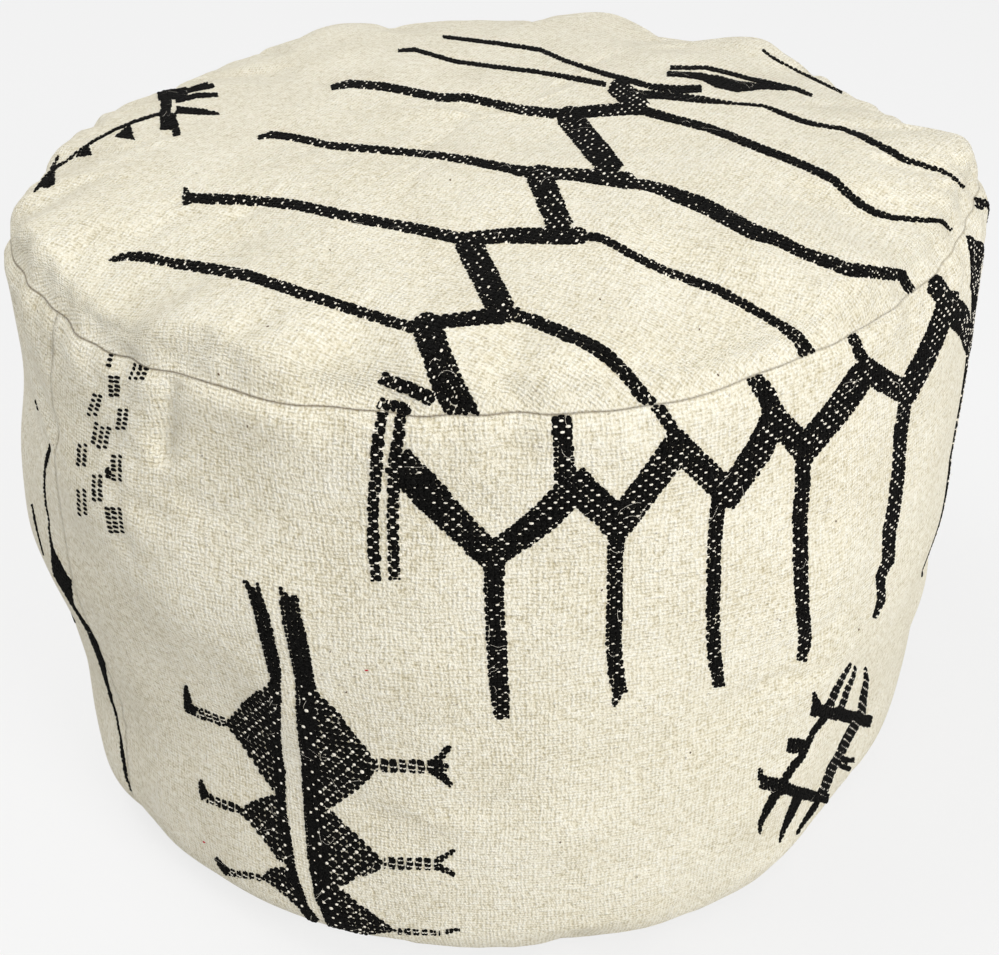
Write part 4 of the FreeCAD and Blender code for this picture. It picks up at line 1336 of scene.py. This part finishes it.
DOME_HEIGHTS = np.repeat([1.0, DOME_SHOULDER_HEIGHT, DOME_ROOT], [1, DOME_SIDES, DOME_SIDES])
# Dots of warp in each kind of figure: half width and half height as shares of a cell, and how plenty they are
TOP_DOTS = {"broad": (0.26, 0.44, 0.62), "narrow": (0.24, 0.38, 0.5), "rope": (0.24, 0.5, 1.4)}
BAND_DOTS = {
    "broad": (0.45, 0.26, 0.75), "narrow": (0.4, 0.24, 0.72),
    "rope": (0.5, 0.25, 1.4), "rods": (0.26, 0.26, 1.4),
}
DIAMOND_DOTS = (0.34, 0.3, 0.85)


def dome_faces():
    """Faces of one dome: a fan at its top, quads down to its rim and a closing underside."""
    nexts = [(k + 1) % DOME_SIDES for k in range(DOME_SIDES)]
    fan = [(0, 1 + k, 1 + n) for k, n in enumerate(nexts)]
    skirt = [(1 + k, 1 + DOME_SIDES + k, 1 + DOME_SIDES + n, 1 + n) for k, n in enumerate(nexts)]
    return fan, skirt, [tuple(1 + DOME_SIDES + k for k in reversed(range(DOME_SIDES)))]


def make_domes(name, place, domes, height, material, flip):
    """Domes in thread coordinates, each a turned superellipse with two half sizes, raised off the cloth."""
    u, v, half_long, half_short, turn = [part[:, None] for part in domes]
    count = len(u)
    size = rng.normal(1, SIZE_SPREAD, (count, 1))
    x = DOME_TEMPLATE[None, :, 0] * half_long * size
    y = DOME_TEMPLATE[None, :, 1] * half_short * size
    wobble = rng.normal(0, PLACE_SPREAD, (2, count, 1)) * CELL
    spread_u = u + wobble[0] + x * np.cos(turn) - y * np.sin(turn)
    spread_v = v + wobble[1] + x * np.sin(turn) + y * np.cos(turn)
    lift = DOME_HEIGHTS[None] * height * rng.normal(1, HEIGHT_SPREAD, (count, 1))
    points = place(spread_u, spread_v, lift)
    faces = []
    starts = np.arange(count)[:, None, None] * len(DOME_TEMPLATE)
    for group in dome_faces():
        shape = np.array(group)
        shape = shape[:, ::-1] if flip else shape
        faces += (starts + shape[None]).reshape(-1, shape.shape[1]).tolist()
    return make_piece(name, points, faces, material, "pouf")


def places_in_cells(place, reach_u, reach_v, cell, limit):
    """Lattice cells with PLACES x PLACES places in each: cell numbers, thread coordinates, pixels, distance
    from the eye and what faces it."""
    i = np.arange(round(reach_u[0] / cell[0]), round(reach_u[1] / cell[0]) + 1)
    j = np.arange(round(reach_v[0] / cell[1]), round(reach_v[1] / cell[1]) + 1)
    inner = (np.arange(PLACES) + 0.5) / PLACES - 0.5
    u = (i[:, None, None, None] + inner[:, None]) * cell[0]
    v = (j[:, None, None] + inner) * cell[1]
    u, v = [part.reshape(len(i), len(j), -1) for part in np.broadcast_arrays(u, v)]
    here = place(u, v)
    normal = np.cross(place(u + PROBE, v) - here, place(u, v + PROBE) - here)
    normal *= np.sign((normal * (here - (0, 0, BELLY_HEIGHT))).sum(-1, keepdims=True))
    seen = ((EYE - here) * normal).sum(-1) > 0
    column, row = to_pixels(here)
    return {"i": i[:, None], "j": j[None], "u": u, "v": v, "column": column, "row": row,
            "depth": np.linalg.norm(here - EYE, axis=-1), "seen": seen & limit(u, v), "cell": cell}


def floats(cells, mask):
    """One float to each cell that a figure crosses: at the middle of what it covers, as long and as wide as
    that, and turned along it. For places spread evenly over a length L, the variance is L^2 / 12."""
    count = mask.sum(-1)
    share = count / PLACES ** 2
    kept = share > LEAST_SHARE
    weight = mask[kept] / count[kept][:, None]
    u, v = cells["u"][kept], cells["v"][kept]
    middle_u, middle_v = (u * weight).sum(-1), (v * weight).sum(-1)
    du, dv = u - middle_u[:, None], v - middle_v[:, None]
    grain_u, grain_v = [(size / PLACES) ** 2 / 12 for size in cells["cell"]]
    var_u = (du * du * weight).sum(-1) + grain_u
    var_v = (dv * dv * weight).sum(-1) + grain_v
    mixed = (du * dv * weight).sum(-1)
    mean, spread = (var_u + var_v) / 2, np.hypot((var_u - var_v) / 2, mixed)
    turn = np.where(spread > ROUNDNESS * mean, np.arctan2(2 * mixed, var_u - var_v) / 2, 0.0)
    even = (cells["i"] + cells["j"])[kept] % 2 == 0
    lap = np.where(share[kept] > FULL_SHARE, FULL_LAP, EDGE_LAP) + np.where(even, EVEN_LAP, ODD_LAP)
    lap = lap * CELL
    half_long, half_short = np.sqrt(3 * (mean + spread)) + lap, np.sqrt(3 * (mean - spread)) + lap
    return (middle_u, middle_v, half_long, half_short, turn), share


def patches(u, v):
    """Uneven patches some centimetres across, from -1 to 1: sin(u / 13 + 2 sin(v / 21)) x
    sin(v / 11 + 1.5 sin(u / 17))."""
    return np.sin(u / 13 + 2 * np.sin(v / 21)) * np.sin(v / 11 + 1.5 * np.sin(u / 17))


def warp_dots(cells, share, dots, cell, at_edges=False):
    """Dots of warp on every other cell inside a figure, and at its edges if asked, fewer in some patches."""
    ringed = np.pad(share, 1)
    neighbours = [ringed[:-2, 1:-1], ringed[2:, 1:-1], ringed[1:-1, :-2], ringed[1:-1, 2:]]
    inner = (share > INNER_SHARE) & (sum(part > EDGE_SHARE for part in neighbours) >= INNER_NEIGHBOURS)
    inner |= at_edges & (share > EDGE_SHARE)
    odd = (cells["i"] + cells["j"]) % 2 == 1
    u, v = cells["u"].mean(-1), cells["v"].mean(-1)
    half_u, half_v, plenty = dots[0] * cell[0], dots[1] * cell[1], dots[2]
    kept = rng.random(share.shape) < np.clip(plenty + PATCHINESS * patches(u, v), *PLENTY_LIMITS)
    kept &= inner & odd
    size = rng.normal(1, DOT_SPREAD, kept.sum())
    return u[kept], v[kept], half_u * size, half_v * size, np.zeros(kept.sum())


def post_splits(cells, share):
    """A line of warp across each post, between one row of cells and the next."""
    covered = share > SPLIT_SHARE
    both = covered[:, :-1] & covered[:, 1:]
    u, v = [cells[key].mean(-1)[:, :-1][both] for key in ("u", "v")]
    size = np.ones_like(u)
    return u, v + cells["cell"][1] / 2, POST_WARP[0] * size, POST_WARP[1] * size, 0 * size


def joined(*groups):
    """Several sets of domes as one."""
    return tuple(np.concatenate(parts) for parts in zip(*groups))


def turned_by(domes, shift):
    """The same domes further round the band."""
    return (domes[0] + shift, *domes[1:])


def chosen(figures, *names):
    """Some of the figures by name."""
    return {name: figures[name] for name in names}


def in_band(u, v):
    """Which places of the band a figure may take."""
    return (v > FIGURE_EDGE) & (v < FLOOR - SEAM - FIGURE_FOOT)


def in_top(u, v):
    """Which places of the top a figure may take."""
    return np.hypot(u, v) < SEAM - FIGURE_EDGE


def cloth_at(cells, spot):
    """Thread coordinates of the seen place nearest to a pixel."""
    far = np.hypot(cells["column"] - spot[0], cells["row"] - spot[1])
    nearest = np.where(cells["seen"], far, np.inf).argmin()
    return cells["u"].flat[nearest], cells["v"].flat[nearest]


def dash_spots():
    """Pixels of the checker's dashes."""
    return [
        (x + (column - (columns - 1) / 2) * DASH_STEP[0] + (row - (rows - 1) / 2) * lean,
         y + (row - (rows - 1) / 2) * DASH_STEP[1])
        for x, y, columns, rows, lean in DASH_GROUPS
        for column in range(columns)
        for row in range(rows)
    ]


def seen_on(cells, figures):
    """Which seen places of some cells lie on strokes."""
    return on_strokes(cells["column"], cells["row"], figures) & cells["seen"]


def dots_in(cells, parts, dots):
    """Dots of warp in each dotted part of the figures; only the broad parts keep their edges black."""
    return [
        warp_dots(cells, floats(cells, parts[kind])[1], sizes, (CELL, CELL), kind != "broad")
        for kind, sizes in dots.items()
    ]


top_cells = places_in_cells(top_place, (-SEAM, SEAM), (-SEAM, SEAM), TOP_CELL, in_top)
top_parts = {
    "broad": seen_on(top_cells, chosen(TOP_DOTTED, "zigzag")),
    "narrow": seen_on(top_cells, chosen(TOP_DOTTED, "right_lines", "left_lines")),
    "rope": seen_on(top_cells, chosen(TOP_DOTTED, "seam_bar")),
    "solid": seen_on(top_cells, TOP_SOLID),
    "filled": in_outlines(top_cells["column"], top_cells["row"], TOP_FILLED) & top_cells["seen"],
}
top_floats, _ = floats(top_cells, np.any(list(top_parts.values()), axis=0))
top_dots = joined(*dots_in(top_cells, top_parts, TOP_DOTS))
make_domes("top_figures", top_place, top_floats, FLOAT_HEIGHT, black, False)
make_domes("top_figure_warp", top_place, top_dots, WARP_HEIGHT, warp, False)

BAND_REACH = (-math.pi / 2 * BELLY_RADIUS, math.pi / 2 * BELLY_RADIUS), (0, FLOOR - SEAM)
# A spot of the picture in pixels, and how far behind the nearest place at a spot another one is hidden
SPOT = 4
HIDDEN_DEPTH = 20.0


def front_cells(cell):
    """Cells of the band's front half. A place is hidden where it lies well behind the nearest one at the same
    spot of the picture, as the foot does where the belly stands before it."""
    cells = places_in_cells(band_place, *BAND_REACH, cell, in_band)
    depth, seen = cells["depth"], cells["seen"]
    spot = (cells["row"] // SPOT).astype(int) * IMAGE_WIDTH + (cells["column"] // SPOT).astype(int)
    nearest = np.full(spot.max() + 1, np.inf)
    np.minimum.at(nearest, spot[seen], depth[seen])
    cells["seen"] = seen & (depth < nearest[spot] + HIDDEN_DEPTH)
    return cells


band_cells = front_cells((CELL, CELL))
post_cells = front_cells(POST_CELL)
wide_cells = front_cells(DIAMOND_CELL)
band_parts = {
    "broad": seen_on(band_cells, chosen(BAND_DOTTED, "zigzag"))
    | on_strokes(band_cells["u"], band_cells["v"], SIDE_DOTTED)
    | in_outlines(band_cells["u"], band_cells["v"], SIDE_DOTTED_FILLED),
    "narrow": seen_on(band_cells, chosen(BAND_DOTTED, "drops")),
    "rope": seen_on(band_cells, chosen(BAND_DOTTED, "ladder")),
    "rods": seen_on(band_cells, chosen(BAND_DOTTED, "hash_rods")),
    "solid": seen_on(band_cells, BAND_SOLID) | on_strokes(band_cells["u"], band_cells["v"], SIDE_SOLID),
    "filled": in_outlines(band_cells["u"], band_cells["v"], SIDE_FILLED),
}
band_floats, _ = floats(band_cells, np.any(list(band_parts.values()), axis=0))
# Posts: two columns of cells in every three
posts = seen_on(post_cells, BAND_POSTS) & (post_cells["i"] % 3 < 2)[:, :, None]
post_floats, post_share = floats(post_cells, posts)
diamonds = in_outlines(wide_cells["column"], wide_cells["row"], BAND_DIAMONDS) & wide_cells["seen"]
diamond_floats, diamond_share = floats(wide_cells, diamonds)
dash_u, dash_v = np.array([cloth_at(band_cells, spot) for spot in dash_spots()]).T
dashes = dash_u, dash_v, *[np.full_like(dash_u, size) for size in (*DASH_HALF, 0.0)]
band_dots = joined(
    *dots_in(band_cells, band_parts, BAND_DOTS),
    post_splits(post_cells, post_share),
    warp_dots(wide_cells, diamond_share, DIAMOND_DOTS, DIAMOND_CELL),
)
for name, shift in (("front", 0.0), ("back", math.pi * BELLY_RADIUS)):
    blacks = turned_by(joined(band_floats, post_floats, dashes, diamond_floats), shift)
    make_domes(f"{name}_figures", band_place, blacks, FLOAT_HEIGHT, black, True)
    creams = turned_by(band_dots, shift)
    make_domes(f"{name}_figure_warp", band_place, creams, WARP_HEIGHT, warp, True)


# Small things caught in the wool: pale hairs over the black, brown flecks and two red ones
HAIR_POINTS = 7
HAIR_LENGTHS = (4, 13)
HAIR_BEND = 1.2
HAIR_LIFT = 0.9
HAIR_ARCH = (0.2, 1.4)
HAIR_HALF = 0.055
FLECK_HEIGHT = 0.6
FLECK_SLIMNESS = 0.4


def make_hairs(name, place, u, v, material):
    """Hairs as narrow ribbons that curl: a quarter turn or so of a circle in thread coordinates, lifted in
    the middle."""
    count = len(u)
    steps = HAIR_POINTS - 1
    along = np.linspace(-0.5, 0.5, HAIR_POINTS)
    length = rng.uniform(*HAIR_LENGTHS, (count, 1))
    bend = rng.normal(0, HAIR_BEND, (count, 1))
    turn = rng.uniform(0, 2 * math.pi, (count, 1)) + bend * along
    path_u = u[:, None] + np.cumsum(length * np.cos(turn) / steps, axis=1)
    path_v = v[:, None] + np.cumsum(length * np.sin(turn) / steps, axis=1)
    lift = HAIR_LIFT + rng.uniform(*HAIR_ARCH, (count, 1)) * np.cos(math.pi * along) ** 2
    aside_u, aside_v = HAIR_HALF * np.sin(turn), HAIR_HALF * np.cos(turn)
    left = place(path_u - aside_u, path_v + aside_v, lift)
    right = place(path_u + aside_u, path_v - aside_v, lift)
    points = np.stack([left, right], axis=2)
    starts = np.arange(count)[:, None] * 2 * HAIR_POINTS + np.arange(steps)[None] * 2
    faces = np.stack([starts, starts + 1, starts + 3, starts + 2], axis=-1).reshape(-1, 4)
    make_piece(name, points, faces, material, "pouf")


def sample(domes, count):
    """Thread coordinates of some of the floats."""
    picked = rng.choice(len(domes[0]), count, replace=False)
    return domes[0][picked], domes[1][picked]


for name, place, domes, count in (
    ("top_hairs", top_place, top_floats, 70),
    ("front_hairs", band_place, band_floats, 80),
    ("diamond_hairs", band_place, diamond_floats, 24),
):
    make_hairs(name, place, *sample(domes, count), warp)
for name, place, cells, spots, size, material, flip in (
    ("band_flecks", band_place, band_cells, BAND_FLECKS, 0.8, brown, True),
    ("top_flecks", top_place, top_cells, TOP_FLECKS, 0.8, brown, False),
    ("red_flecks", band_place, band_cells, RED_FLECKS, 1.1, red, True),
):
    u, v = np.array([cloth_at(cells, spot) for spot in spots]).T
    turn = rng.uniform(0, math.pi, len(u))
    domes = u, v, np.full_like(u, size), np.full_like(u, FLECK_SLIMNESS * size), turn
    make_domes(name, place, domes, FLECK_HEIGHT, material, flip)


# Stage, in metres and watts: half the floor, how white it shows to the camera, the light of the surroundings,
# and each light's name, place, size and power
FLOOR_HALF = 6.0
FLOOR_WHITE = 0.75
SURROUNDINGS = 0.59
LIGHT_AIM = 0.2
LIGHTS = (
    ("key_light", (1.35, -1.9, 1.2), 1.0, 35.5),
    ("left_light", (-0.9, 0.1, 2.4), 1.2, 22.0),
)


def make_stage():
    """Pale floor and soft light from above and in front, on a white background."""
    mesh = bpy.data.meshes.new("floor")
    corners = [(x * FLOOR_HALF, y * FLOOR_HALF, 0) for x, y in ((-1, -1), (1, -1), (1, 1), (-1, 1))]
    mesh.from_pydata(corners, [], [(0, 1, 2, 3)])
    floor = bpy.data.objects.new("floor", mesh)
    bpy.context.scene.collection.objects.link(floor)
    material, tree, shader = new_material("matt_white_paper")
    shader.inputs["Base Color"].default_value = linear("#CECECE")
    shader.inputs["Roughness"].default_value = 0.9
    rays = add_node(tree, "ShaderNodeLightPath")
    white = add_node(tree, "ShaderNodeEmission", {"Color": (1, 1, 1, 1), "Strength": 1.0}).outputs[0]
    share = add_node(
        tree, "ShaderNodeMath", {0: rays.outputs["Is Camera Ray"], 1: FLOOR_WHITE}, operation="MULTIPLY"
    ).outputs[0]
    paler = add_node(tree, "ShaderNodeMixShader", {0: share, 1: shader.outputs[0], 2: white})
    tree.links.new(paler.outputs[0], tree.nodes["Material Output"].inputs["Surface"])
    mesh.materials.append(material)
    world = bpy.data.worlds.new("studio")
    bpy.context.scene.world = world
    world.use_nodes = True
    tree = world.node_tree
    tree.nodes.clear()
    rays = add_node(tree, "ShaderNodeLightPath")
    looks = {0: rays.outputs["Is Camera Ray"], 1: rays.outputs["Is Glossy Ray"]}
    seen = add_node(tree, "ShaderNodeMath", looks, operation="MAXIMUM").outputs[0]
    dim, plain = [
        add_node(tree, "ShaderNodeBackground", {"Color": (1, 1, 1, 1), "Strength": strength}).outputs[0]
        for strength in (SURROUNDINGS, 1.0)
    ]
    mixed = add_node(tree, "ShaderNodeMixShader", {0: seen, 1: dim, 2: plain})
    add_node(tree, "ShaderNodeOutputWorld", {"Surface": mixed.outputs[0]})
    for name, place, size, power in LIGHTS:
        data = bpy.data.lights.new(name, "AREA")
        data.size = size
        data.energy = power
        lamp = bpy.data.objects.new(name, data)
        bpy.context.scene.collection.objects.link(lamp)
        lamp.visible_camera = False
        lamp.location = place
        back = np.array(place) - (0, 0, LIGHT_AIM)
        lamp.rotation_euler = (
            math.atan2(math.hypot(back[0], back[1]), back[2]), 0.0, math.atan2(back[0], -back[1]),
        )


make_stage()
aim_camera()
bpy.context.scene.view_settings.view_transform = "Standard"
